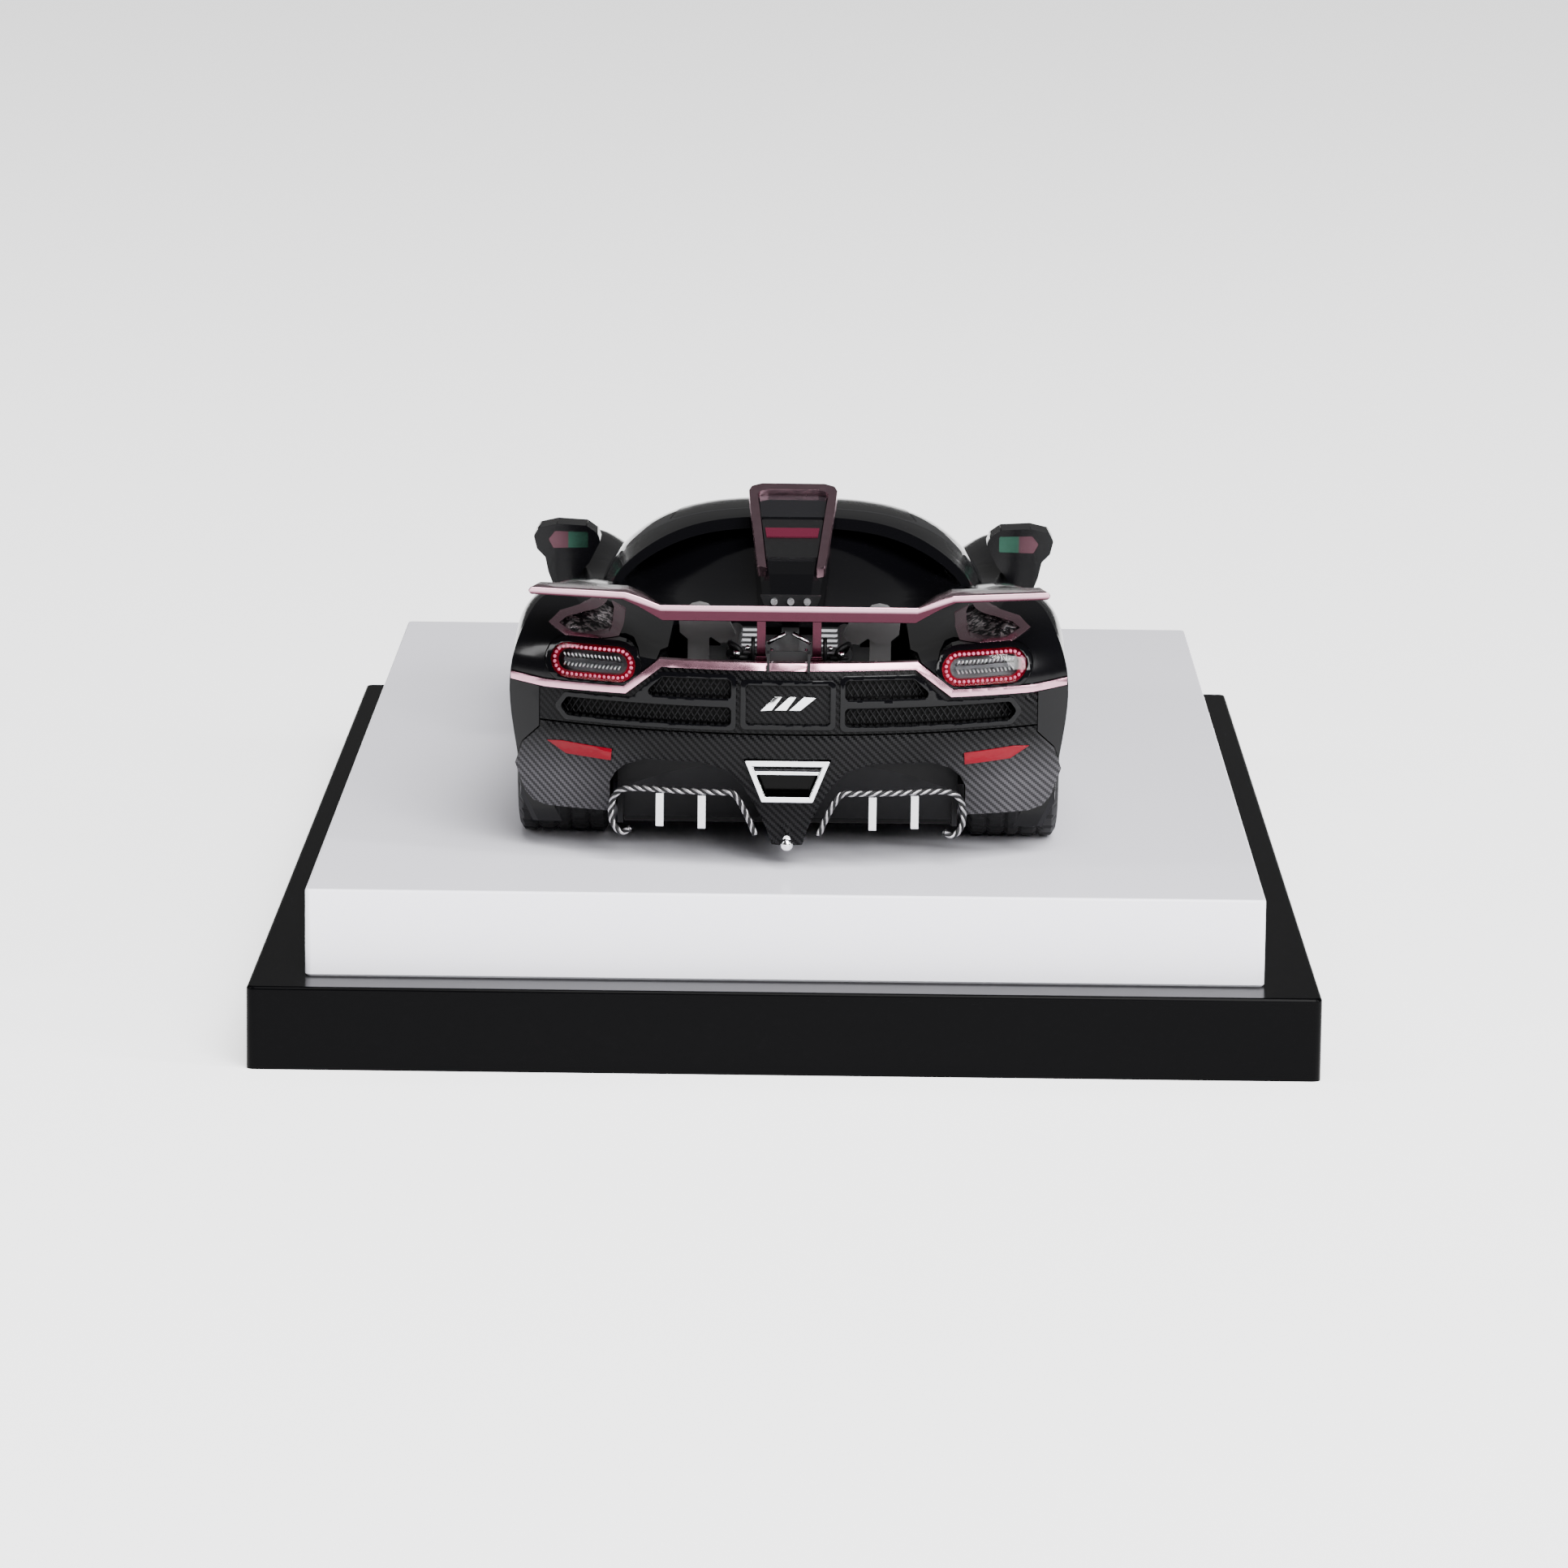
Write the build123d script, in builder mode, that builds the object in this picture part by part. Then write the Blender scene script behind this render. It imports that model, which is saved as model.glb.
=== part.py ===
from build123d import *
from math import atan2, cos, degrees, hypot, pi, radians, sin, sqrt
import os

# A 1:64 diecast mid-engined sports car screwed to a two-tier display base.
# Frame: +Z up, +Y towards the car's nose, +X to the car's right-hand side.
# The origin is the centre of the plinth's underside. Sizes are millimetres.
os.makedirs("parts", exist_ok=True)

# ---------------------------------------------------------------- display base
PLINTH_W, PLINTH_L, PLINTH_T = 58.5, 103.0, 4.6
MARGIN = 3.0                                    # plinth shown round the plate
PLATE_W, PLATE_L, PLATE_T = PLINTH_W - 2 * MARGIN, PLINTH_L - 2 * MARGIN, 4.85
ROAD = PLINTH_T + PLATE_T                       # height that the car stands at
SCREW_Y = (18.0, -16.0)                         # the two screws that hold the car
SCREW_R = 1.0

# ---------------------------------------------------------------- car, overall
WHEELBASE = 41.6
REAR_AXLE = -29.3                               # Y of the rear axle
FRONT_AXLE = REAR_AXLE + WHEELBASE
HALF_W = 15.65                                  # widest, over the rear wheels
TAIL, NOSE = -41.6, 25.4                        # Y of the two ends, on the centre line
TAIL_R, NOSE_R = 24.0, 24.0                     # plan radius of each end
TAIL_C, NOSE_C = TAIL + TAIL_R, NOSE - NOSE_R
SKIN = 0.8                                      # wall of the cast shell
GAP = 0.06                                      # gap between fitted panels

# ---------------------------------------------------------------- wheels
REAR_R, REAR_TYRE_W, REAR_OUT = 5.55, 5.2, 15.3
FRONT_R, FRONT_TYRE_W, FRONT_OUT = 5.0, 4.0, 14.45
LIFT = 0.06                                     # tyres clear the plate by this much
RIM_SHARE = 0.72                                # rim radius over tyre radius
AXLE_R = 0.6
AXLE_PLAY = 0.03                                # radial play in the chassis blocks
REAR_Z, FRONT_Z = REAR_R + LIFT, FRONT_R + LIFT
REAR_ARCH, FRONT_ARCH = REAR_R + 0.4, FRONT_R + 0.27

# ---------------------------------------------------------------- tail, heights over the road
TRIM_T = 0.4                                    # trim strip's height
TRIM_MID, TRIM_SIDE = 11.45, 9.85               # its centre line in the middle and at the sides
RAMP_IN, RAMP_OUT = 7.1, 9.1                    # X where the strip starts and stops ramping
SPLIT = 7.65                                    # seam of fascia and bumper
SEAM_Y = -35.5                                  # the tail panels start behind this
LAMP_X, LAMP_Z = 10.9, 11.15                    # tail lamp's centre
LAMP_W, LAMP_H = 4.8, 1.94                      # tail lamp's lens
WING_TE, WING_LE = -41.0, -35.6                 # wing's rear and front edge

# Radius lost by the tail and by the nose at each height.
TAIL_FORM = [(0.4, 1.6), (2.6, 0.95), (4.6, 0.38), (6.3, 0.06), (7.4, 0.0), (9.6, 0.0),
             (11.0, 0.12), (11.9, 0.45), (12.6, 1.1), (13.4, 2.6), (14.6, 6.0)]
NOSE_FORM = [(0.4, 0.9), (1.7, 0.4), (3.0, 0.0), (4.2, 0.05), (5.2, 0.5), (6.4, 1.2), (8.0, 2.0), (10.0, 3.0),
             (12.0, 4.4), (16.0, 9.0)]


def station(y):
    """Cross-section plane at Y = y: local x is X, local y is height over the road."""
    return Plane(origin=(0, y, ROAD), x_dir=(1, 0, 0), z_dir=(0, -1, 0))


def level(z):
    """Horizontal plane at height z over the road."""
    return Plane.XY.offset(ROAD + z)


def flank(x):
    """Plane at X = x: local x is Y, local y is height over the road."""
    return Plane(origin=(x, 0, ROAD), x_dir=(0, 1, 0), z_dir=(1, 0, 0))


def mirrored(half):
    """A half profile, given from the outside to the centre line, as a whole one."""
    return [(-x, z) for x, z in half] + [(x, z) for x, z in reversed(half[:-1])]


def flipped(points):
    return [(-x, z) for x, z in points]


def save(part, label):
    part.label = label
    export_step(part, f"parts/{label}.step")
    print(label, len(part.solids()), round(part.volume, 3), part.is_valid)


def outline(plane, loops, radius=0.0):
    """Closed polygons on a plane, their corners rounded."""
    with BuildSketch(plane) as drawn:
        for points in loops:
            ends = points[1:] + points[:1]
            turn = sum(p[0] * q[1] - q[0] * p[1] for p, q in zip(points, ends))
            ordered = points if turn > 0 else points[::-1]
            with BuildLine():
                Polyline(*ordered, close=True)
            make_face()
        if radius:
            fillet(drawn.vertices(), radius)
    return drawn.sketch


def across(loops, y0, y1, radius=0.0):
    """Prism between Y = y0 (rear) and y1 (front) from outlines in X and height."""
    with BuildPart() as prism:
        extrude(outline(station(y1), loops, radius), amount=y1 - y0, dir=(0, -1, 0))
    return prism.part


def down(loops, z0, z1, radius=0.0):
    """Prism between heights z0 and z1 from outlines in plan."""
    with BuildPart() as prism:
        extrude(outline(level(z0), loops, radius), amount=z1 - z0, dir=(0, 0, 1))
    return prism.part


def through(loops, x0, x1, radius=0.0):
    """Prism between X = x0 and x1 from outlines in Y and height."""
    with BuildPart() as prism:
        extrude(outline(flank(x0), loops, radius), amount=x1 - x0, dir=(1, 0, 0))
    return prism.part


def cut(base, *tools):
    with BuildPart() as result:
        add(base)
        for tool in tools:
            add(tool, mode=Mode.SUBTRACT)
    return result.part


def common(base, *tools):
    with BuildPart() as result:
        add(base)
        for tool in tools:
            add(tool, mode=Mode.INTERSECT)
    return result.part


def joined(*pieces):
    with BuildPart() as result:
        for piece in pieces:
            add(piece)
    return result.part


def box(x0, x1, y0, y1, z0, z1):
    """A block given by its limits, heights over the road."""
    with BuildPart() as block:
        with Locations(((x0 + x1) / 2, (y0 + y1) / 2, ROAD + (z0 + z1) / 2)):
            Box(x1 - x0, y1 - y0, z1 - z0)
    return block.part


def dropped(piece, by):
    return piece.moved(Location((0, 0, -by)))


def rod(radius, x0, x1, y, z):
    """A cylinder along X."""
    with BuildPart() as bar:
        with Locations(Location(((x0 + x1) / 2, y, ROAD + z), (0, 90, 0))):
            Cylinder(radius, abs(x1 - x0))
    return bar.part


def both_sides(piece):
    """The piece and its mirror image."""
    with BuildPart() as pair:
        add(piece)
        add(mirror(piece, about=Plane.YZ))
    return pair.part


def end_form(form, centre_y, radius, outer, inner=None):
    """The curved end turned about its vertical axis, solid or as a shell between two insets."""
    with BuildPart() as turned:
        with BuildSketch(Plane(origin=(0, centre_y, ROAD), x_dir=(1, 0, 0), z_dir=(0, -1, 0))):
            with BuildLine():
                skin = [(radius - lost - outer, z) for z, lost in form]
                Spline(*skin)
                if inner is None:
                    back = [(0, form[-1][0]), (0, form[0][0])]
                    Polyline(skin[-1], *back, skin[0])
                else:
                    core = [(radius - lost - inner, z) for z, lost in form]
                    Spline(*core)
                    Line(skin[0], core[0])
                    Line(skin[-1], core[-1])
            make_face()
        revolve(axis=Axis((0, centre_y, 0), (0, 0, 1)))
    return turned.part


def on_tail(loops, outer, inner, radius=0.0):
    """A piece that follows the tail between two insets, cut to outlines in X and height."""
    shell = end_form(TAIL_FORM, TAIL_C, TAIL_R, outer, inner)
    return common(shell, across(loops, TAIL - 3, -31, radius))


def on_nose(loops, outer, inner, radius=0.0):
    """The same at the nose."""
    shell = end_form(NOSE_FORM, NOSE_C, NOSE_R, outer, inner)
    return common(shell, across(loops, 12, NOSE + 3, radius))


def slot(cx, cz, w, h, n=10):
    """A slot-shaped outline with round ends."""
    r, flat = h / 2, (w - h) / 2
    right = [(cx + flat + r * cos(a), cz + r * sin(a)) for a in [pi * (k / n - 0.5) for k in range(n + 1)]]
    left = [(cx - flat + r * cos(a), cz + r * sin(a)) for a in [pi * (k / n + 0.5) for k in range(n + 1)]]
    return right + left


def grown(points, by):
    """A convex outline moved outwards."""
    with BuildSketch(Plane.XY) as wide:
        with BuildLine():
            Polyline(*points, close=True)
        make_face()
        offset(amount=by, kind=Kind.INTERSECTION)
    ring = wide.sketch.faces()[0].outer_wire()
    spots = [v for v in ring.order_edges()]
    return [(e.position_at(0).X, e.position_at(0).Y) for e in spots]


# ================================================================ master surfaces
# y, half width, sill, belt, upper (x, z), shoulder (x, z), crest (x, z), inner (x, z), centre height
BODY_STATIONS = [
    (-44.0, 15.10, 1.6, 7.2, (15.1, 9.3), (14.1, 10.4), (12.0, 10.9), (7.4, 11.4), 11.4),
    (-40.0, 15.35, 1.6, 7.4, (15.3, 10.1), (14.4, 11.4), (12.0, 11.9), (7.4, 11.6), 11.5),
    (-37.2, 15.50, 1.6, 7.6, (15.45, 10.8), (14.6, 12.3), (12.2, 12.9), (8.0, 11.9), 11.6),
    (-34.0, 15.60, 1.6, 7.8, (15.5, 11.3), (14.8, 13.0), (12.4, 13.85), (8.7, 12.4), 11.8),
    (-30.0, HALF_W, 1.6, 7.8, (15.5, 11.4), (14.85, 13.2), (12.5, 14.15), (9.1, 12.8), 12.0),
    (-24.0, 15.40, 1.6, 7.4, (15.2, 10.9), (14.5, 12.7), (12.3, 13.7), (9.8, 13.0), 12.3),
    (-16.0, 14.80, 1.6, 6.6, (14.6, 9.8), (13.9, 11.5), (12.2, 12.4), (10.0, 12.3), 12.0),
    (-8.0, 14.40, 1.6, 6.2, (14.2, 9.0), (13.6, 10.4), (12.4, 11.0), (10.2, 11.1), 10.9),
    (0.0, 14.30, 1.6, 6.2, (14.1, 8.8), (13.6, 10.0), (12.6, 10.4), (10.0, 10.3), 10.3),
    (6.0, 14.55, 1.6, 6.4, (14.4, 9.4), (13.9, 10.7), (12.8, 11.1), (10.2, 10.2), 10.0),
    (12.3, 14.75, 1.6, 6.8, (14.6, 9.7), (14.0, 11.0), (12.7, 11.5), (10.2, 10.3), 9.4),
    (17.0, 14.50, 1.6, 6.2, (14.3, 8.7), (13.6, 9.9), (12.0, 10.4), (9.2, 9.0), 8.6),
    (22.0, 13.90, 1.6, 5.0, (13.7, 6.8), (12.9, 7.7), (11.0, 8.1), (7.4, 7.2), 7.1),
    (27.0, 13.10, 1.6, 4.0, (12.9, 5.0), (12.1, 5.7), (10.0, 6.0), (6.5, 5.6), 5.6),
]

# y, half width at the foot, foot height, roof height
CABIN_STATIONS = [
    (15.5, 7.0, 6.6, 8.6),
    (12.0, 9.0, 7.2, 10.6),
    (8.0, 10.4, 8.0, 12.7),
    (4.0, 11.2, 8.8, 14.3),
    (0.0, 11.5, 9.4, 15.3),
    (-4.0, 11.6, 9.8, 15.75),
    (-8.0, 11.5, 10.1, 15.85),
    (-12.0, 11.2, 10.6, 15.65),
    (-17.0, 10.8, 11.0, 15.0),
]
CABIN_SHAPE = [(1.0, 0.0), (0.945, 0.36), (0.83, 0.62), (0.68, 0.81), (0.50, 0.93), (0.26, 0.99), (0, 1)]
ROOF_FRONT, ROOF_REAR, ROOF_W = 1.5, -8.2, 7.4  # the lift-out roof panel
GLASS_REAR = -8.8                               # side glass ends here
GLASS_T = 0.5

# y, then heights of the deck panel at x = 0, 3, 6, 8.5 and 10.2
DECK_STATIONS = [
    (-9.6, 15.2, 15.1, 14.5, 13.2, 11.7),
    (-12.5, 14.5, 14.3, 13.6, 12.8, 12.0),
    (-16.0, 13.5, 13.3, 12.8, 12.5, 12.3),
    (-20.0, 12.5, 12.3, 12.1, 12.4, 12.7),
    (-24.6, 11.7, 11.6, 11.7, 12.3, 13.0),
]
DECK_X = (0, 3.0, 6.0, 8.5, 10.2)
BAY_W, BAY_FRONT = 6.5, -24.6                   # open engine bay


def body_profile(s, inset=0.0):
    _, half_w, sill, belt, upper, shoulder, crest, inner, centre = s
    outer = [(half_w - 0.35, sill), (half_w, belt), upper, shoulder, crest, inner, (0, centre)]
    half = []
    for i, (x, z) in enumerate(outer):
        ahead = outer[i + 1] if i < 6 else (-inner[0], inner[1])
        behind = outer[i - 1] if i > 0 else (half_w - 0.35, sill - 1)
        tx, tz = ahead[0] - behind[0], ahead[1] - behind[1]
        size = hypot(tx, tz)
        half.append((x - inset * tz / size, z + inset * tx / size))
    if inset > 0:
        half[0] = (half[0][0], sill - 1.0)
    return mirrored(half)


def cabin_profile(s, inset=0.0):
    _, half_w, foot, top = s
    half = [((half_w - inset) * u, foot + (top - inset - foot) * v) for u, v in CABIN_SHAPE]
    return mirrored(half)


def lofted(stations, profile, inset):
    """A closed solid through the stations' profiles, flat underneath."""
    with BuildPart() as solid:
        for s in stations:
            points = profile(s, inset)
            with BuildSketch(station(s[0])):
                with BuildLine():
                    Spline(*points)
                    Line(points[-1], points[0])
                make_face()
        loft()
    return solid.part


def ended(solid, inset):
    """A body loft rounded off at both ends."""
    tail = cut(box(-30, 30, TAIL - 5, TAIL_C, 0, 30), end_form(TAIL_FORM, TAIL_C, TAIL_R, inset),
               box(-7.0 + inset, 7.0 - inset, TAIL - 1, TAIL_C, 30, 31))
    nose = cut(box(-30, 30, NOSE_C, NOSE + 5, 0, 30), end_form(NOSE_FORM, NOSE_C, NOSE_R, inset))
    keep_tail = box(-30, 30, TAIL_C - 13, TAIL_C + 1, 0.3, 20)
    keep_nose = box(-30, 30, NOSE_C - 1, NOSE_C + 9, 0.3, 20)
    return cut(solid, cut(tail, keep_tail), cut(nose, keep_nose))


body_outer = ended(lofted(BODY_STATIONS, body_profile, 0), 0)
body_inner = ended(lofted(BODY_STATIONS, body_profile, SKIN), SKIN)
body_skin = cut(body_outer, body_inner)
body_proud = cut(ended(lofted(BODY_STATIONS, body_profile, -0.12), -0.12), body_inner)
body_mid = ended(lofted(BODY_STATIONS, body_profile, 0.3), 0.3)
cabin_outer = lofted(CABIN_STATIONS, cabin_profile, 0)
cabin_inner = lofted(CABIN_STATIONS, cabin_profile, GLASS_T)
cabin_skin = cut(cabin_outer, cabin_inner)

# ================================================================ display base
with BuildPart() as plinth:
    Box(PLINTH_W, PLINTH_L, PLINTH_T, align=(Align.CENTER, Align.CENTER, Align.MIN))
    fillet(plinth.edges().filter_by(Axis.Z), 0.5)
    fillet(plinth.faces().sort_by(Axis.Z)[-1].edges(), 0.2)
    for y in SCREW_Y:
        with Locations((0, y, 0)):
            Cylinder(SCREW_R + 0.15, 20, mode=Mode.SUBTRACT)
            Cylinder(2.2, 3.6, mode=Mode.SUBTRACT)
save(plinth.part, "plinth")

with BuildPart() as display_plate:
    with Locations((0, 0, PLINTH_T)):
        Box(PLATE_W, PLATE_L, PLATE_T, align=(Align.CENTER, Align.CENTER, Align.MIN))
    fillet(display_plate.edges().filter_by(Axis.Z), 0.35)
    fillet(display_plate.faces().sort_by(Axis.Z)[-1].edges(), 0.15)
    chamfer(display_plate.faces().sort_by(Axis.Z)[0].edges(), 0.12)
    for y in SCREW_Y:
        with Locations((0, y, 7)):
            Cylinder(SCREW_R + 0.15, 20, mode=Mode.SUBTRACT)
save(display_plate.part, "display_plate")

with BuildPart() as mounting_screws:
    for y in SCREW_Y:
        with Locations((0, y, 0.4)):
            Cylinder(2.0, 1.4, align=(Align.CENTER, Align.CENTER, Align.MIN))
            Cylinder(SCREW_R, ROAD + 4.8, align=(Align.CENTER, Align.CENTER, Align.MIN))
            with BuildSketch(Plane.XY.offset(0.4)):
                with Locations((0, y)):
                    Rectangle(2.2, 0.4)
                    Rectangle(0.4, 2.2)
            extrude(amount=0.7, mode=Mode.SUBTRACT)
save(mounting_screws.part, "mounting_screws")

# ================================================================ chassis
FLOOR_Z, FLOOR_T = 1.6, 0.8
wheel_wells = [
    box(sx * 9.3 if sx > 0 else -20, 20 if sx > 0 else sx * 9.3, y - reach, y + reach, 0, 14)
    for sx in (-1, 1)
    for y, reach in ((REAR_AXLE, REAR_ARCH + 0.1), (FRONT_AXLE, FRONT_ARCH + 0.1))
]
with BuildPart() as chassis_plate:
    add(down([[(-12.9, -22), (-12.9, 6), (-12.5, 18.0), (-7.6, 21.4), (7.6, 21.4), (12.5, 18.0), (12.9, 6),
               (12.9, -22), (9.2, -22), (9.2, -35.2), (-9.2, -35.2), (-9.2, -22)]], FLOOR_Z, FLOOR_Z + FLOOR_T))
    for well in wheel_wells:
        add(well, mode=Mode.SUBTRACT)
    for y in SCREW_Y:
        with Locations((0, y, ROAD)):
            Cylinder(2.2, 6.2, align=(Align.CENTER, Align.CENTER, Align.MIN))
            Cylinder(SCREW_R + 0.01, 5.6, align=(Align.CENTER, Align.CENTER, Align.MIN), mode=Mode.SUBTRACT)
    for y, z in ((REAR_AXLE, REAR_Z), (FRONT_AXLE, FRONT_Z)):
        for x in (-7.6, 7.6):
            add(box(x - 0.8, x + 0.8, y - 1.6, y + 1.6, FLOOR_Z, z + 1.5))
        add(rod(AXLE_R + AXLE_PLAY, -12, 12, y, z), mode=Mode.SUBTRACT)
save(chassis_plate.part, "chassis_plate")

# ================================================================ body shell
DECK_HOLE = [[(-10.3, GLASS_REAR + 0.0), (10.3, GLASS_REAR), (10.3, BAY_FRONT), (-10.3, BAY_FRONT)]]
CABIN_HOLE = [[(6.0, 13.6), (8.0, 11.4), (9.4, 8), (10.2, 4), (10.5, 0), (10.6, -4), (10.4, -9), (-10.4, -9),
               (-10.6, -4), (-10.5, 0), (-10.2, 4), (-9.4, 8), (-8.0, 11.4), (-6.0, 13.6)]]
BAY_HOLE = [[(-BAY_W, BAY_FRONT + 0.2), (BAY_W, BAY_FRONT + 0.2), (BAY_W + 0.45, -43), (-BAY_W - 0.45, -43)]]
TRIM_TOP = [(0, 11.65), (RAMP_IN + 0.05, 11.65), (RAMP_OUT + 0.05, 10.05), (13.6, 10.0), (16.4, 10.3)]
TRIM_LOW = [(16.4, 9.88), (13.6, 9.6), (RAMP_OUT - 0.05, 9.65), (RAMP_IN - 0.05, 11.25), (0, 11.25)]
CORNER_X = 13.95
ABOVE_TRIM = [(0, 11.72), (RAMP_IN + 0.08, 11.72), (RAMP_OUT + 0.08, 10.12), (13.6, 10.06), (16.4, 10.36), (16.4, 20),
              (0, 20)]
CORNER = [(CORNER_X, 9.55), (16.4, 9.8), (16.4, 4.7), (15.42, 5.0), (14.95, 6.3), (CORNER_X, 7.3)]
LAMP_POCKET = slot(LAMP_X, LAMP_Z, LAMP_W + 0.7, LAMP_H + 0.66)
VENT = [(13.5, 12.95), (12.9, 13.45), (11.6, 13.8), (9.7, 13.85), (9.35, 13.4), (9.3, 12.75), (9.6, 12.3),
        (12.3, 12.35)]
VENT_IN = [(12.9, 12.97), (12.5, 13.25), (11.5, 13.52), (10.25, 13.55), (9.95, 13.3), (9.9, 12.85), (10.1, 12.6),
           (12.1, 12.62)]
HEADLAMP = [(13.45, 10.6), (13.75, 13.5), (13.2, 17.5), (11.6, 21.2), (10.6, 21.4), (10.9, 18.2), (12.1, 14.0)]
SIDE_INTAKE = [(-20.8, 4.2), (-15.4, 4.0), (-16.6, 8.6), (-19.8, 9.6), (-21.2, 8.8)]
SIDE_DOOR = [(8.2, 3.6), (7.4, 9.4), (5.6, 12.5), (-9.6, 12.5), (-12.8, 9.0), (-11.6, 3.2)]
SIDE_DOOR_IN = [(8.05, 3.75), (7.25, 9.3), (5.5, 12.6), (-9.5, 12.6), (-12.62, 8.98), (-11.46, 3.35)]
NOSE_INTAKE = [(7.2, 2.2), (12.6, 2.2), (12.2, 4.7), (8.4, 4.3)]
NOSE_MOUTH = [(-5.6, 2.2), (5.6, 2.2), (4.6, 3.7), (-4.6, 3.7)]

tail_keep = joined(across([ABOVE_TRIM, flipped(ABOVE_TRIM)], TAIL - 2, SEAM_Y),
                   across([CORNER, flipped(CORNER)], TAIL - 2, SEAM_Y))
tail_cut = cut(box(-20, 20, TAIL - 3, SEAM_Y, 0, 20), tail_keep)
arches = []
for y, z, radius, edge in ((REAR_AXLE, REAR_Z, REAR_ARCH, 20), (FRONT_AXLE, FRONT_Z, FRONT_ARCH, 20)):
    arches.append(both_sides(rod(radius, 9.4, edge, y, z)))
    arches.append(both_sides(box(9.4, edge, y - radius, y + radius, 0, z)))
body_cutters = [
    tail_cut, down(DECK_HOLE, 6, 20), down(CABIN_HOLE, 6, 20, 0.5), down(BAY_HOLE, 9, 20), *arches,
    across([LAMP_POCKET, flipped(LAMP_POCKET)], TAIL - 2, -36),
    across([VENT, flipped(VENT)], -39, -30.5),
    both_sides(down([HEADLAMP], 5, 15, 0.25)),
    both_sides(through([SIDE_INTAKE], 12.5, 18, 0.4)),
    across([NOSE_INTAKE, flipped(NOSE_INTAKE), NOSE_MOUTH], 18, NOSE + 2, 0.25),
]
door_ring = common(body_outer, cut(through([SIDE_DOOR], 12.5, 18), through([SIDE_DOOR_IN], 12, 19)))
door_line = both_sides(cut(door_ring, body_outer.moved(Location((-0.16, 0, 0)))))
body_shell = cut(body_skin, *body_cutters, door_line)
save(body_shell, "body_shell")


def pair_on_tail(points, outer, inner, radius=0.0):
    return on_tail([points, flipped(points)], outer, inner, radius)


# ================================================================ tail panels
UPPER_MESH = [(3.15, 9.62), (8.15, 9.62), (7.0, 10.72), (3.15, 10.72)]
LOWER_MESH = [(3.15, 8.13), (12.35, 8.13), (12.75, 8.6), (12.35, 9.17), (3.15, 9.17)]
BADGE = [(-2.35, 8.25), (2.35, 8.25), (2.35, 10.45), (-2.35, 10.45)]
FASCIA = [(-CORNER_X + 0.05, 7.72), (CORNER_X - 0.05, 7.72), (CORNER_X - 0.05, 9.56), (RAMP_OUT - 0.07, 9.6),
          (RAMP_IN - 0.07, 11.21), (-RAMP_IN + 0.07, 11.21), (-RAMP_OUT + 0.07, 9.6), (-CORNER_X + 0.05, 9.56)]
mesh_loops = [UPPER_MESH, flipped(UPPER_MESH), LOWER_MESH, flipped(LOWER_MESH)]
shelf = common(end_form(TAIL_FORM, TAIL_C, TAIL_R, 0.85, 3.6), box(-6.3, 6.3, TAIL, -37.4, 10.75, 11.2))
rear_fascia = joined(cut(on_tail([FASCIA], 0, 0.9), across(mesh_loops, TAIL - 2, -36, 0.25),
                         on_tail([BADGE], -1, 0.25)), shelf)
save(rear_fascia, "rear_fascia")

grille_meshes = cut(on_tail(mesh_loops, 0.45, 0.75, 0.25))
save(grille_meshes, "grille_meshes")

rings = [grown(UPPER_MESH, 0.26), flipped(grown(UPPER_MESH, 0.26)), grown(LOWER_MESH, 0.26),
         flipped(grown(LOWER_MESH, 0.26))]
grille_frames = joined(cut(on_tail(rings, -0.13, 0, 0.3), across(mesh_loops, TAIL - 2, -36, 0.25)),
                       cut(on_tail([grown(BADGE, 0.28)], -0.16, 0, 0.3), across([BADGE], TAIL - 2, -36, 0.15)))
save(grille_frames, "grille_frames")

badge_panel = on_tail([BADGE], 0.05, 0.25)
save(badge_panel, "badge_panel")

MARK = [[(-1.55, 9.0), (-0.9, 9.05), (-0.35, 9.8), (-0.75, 9.8)], [(-0.75, 9.05), (-0.1, 9.05), (0.45, 9.8), (0.05, 9.8)],
        [(0.05, 9.05), (0.7, 9.05), (1.55, 9.75), (0.85, 9.8)]]
badge_mark = on_tail(MARK, -0.06, 0.05)
save(badge_mark, "badge_mark")

# ---------------------------------------------------------------- bumper, diffuser, exhaust
MOUTH = [(9.92, 2.2), (9.92, 4.5), (9.6, 5.1), (9.05, 5.6), (7.9, 6.0), (4.75, 6.0), (3.3, 5.55), (2.5, 4.75),
         (1.75, 3.5), (1.15, 2.2)]
BUMPER_HALF = [(CORNER_X - 0.06, 7.62), (CORNER_X - 0.06, 7.26), (14.9, 6.24), (15.35, 4.95), (14.8, 3.4), (14.3, 2.85),
               (13.5, 2.65), (10.0, 2.75), *MOUTH, (0.85, 1.25), (0.0, 1.2)]
TIP = [(-2.37, 6.22), (2.37, 6.22), (1.42, 3.9), (-1.42, 3.9)]
REFLECTOR = [(9.85, 5.75), (12.4, 5.9), (13.5, 6.55), (12.6, 6.62), (9.8, 6.42)]
bumper_shell = end_form(TAIL_FORM, TAIL_C, TAIL_R, 0, 0.8)
bumper_loop = BUMPER_HALF[:-1] + [(0, 1.2)] + flipped(BUMPER_HALF[:-1])[::-1]
rear_bumper = cut(common(bumper_shell, across([bumper_loop], TAIL - 3, SEAM_Y - 0.06)),
                  on_tail([REFLECTOR, flipped(REFLECTOR)], -1, 0.4),
                  across([grown(TIP, 0.05)], TAIL - 2, -38))
save(rear_bumper, "rear_bumper")

rear_reflectors = pair_on_tail(REFLECTOR, -0.07, 0.4, 0.0)
save(rear_reflectors, "rear_reflectors")

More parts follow.
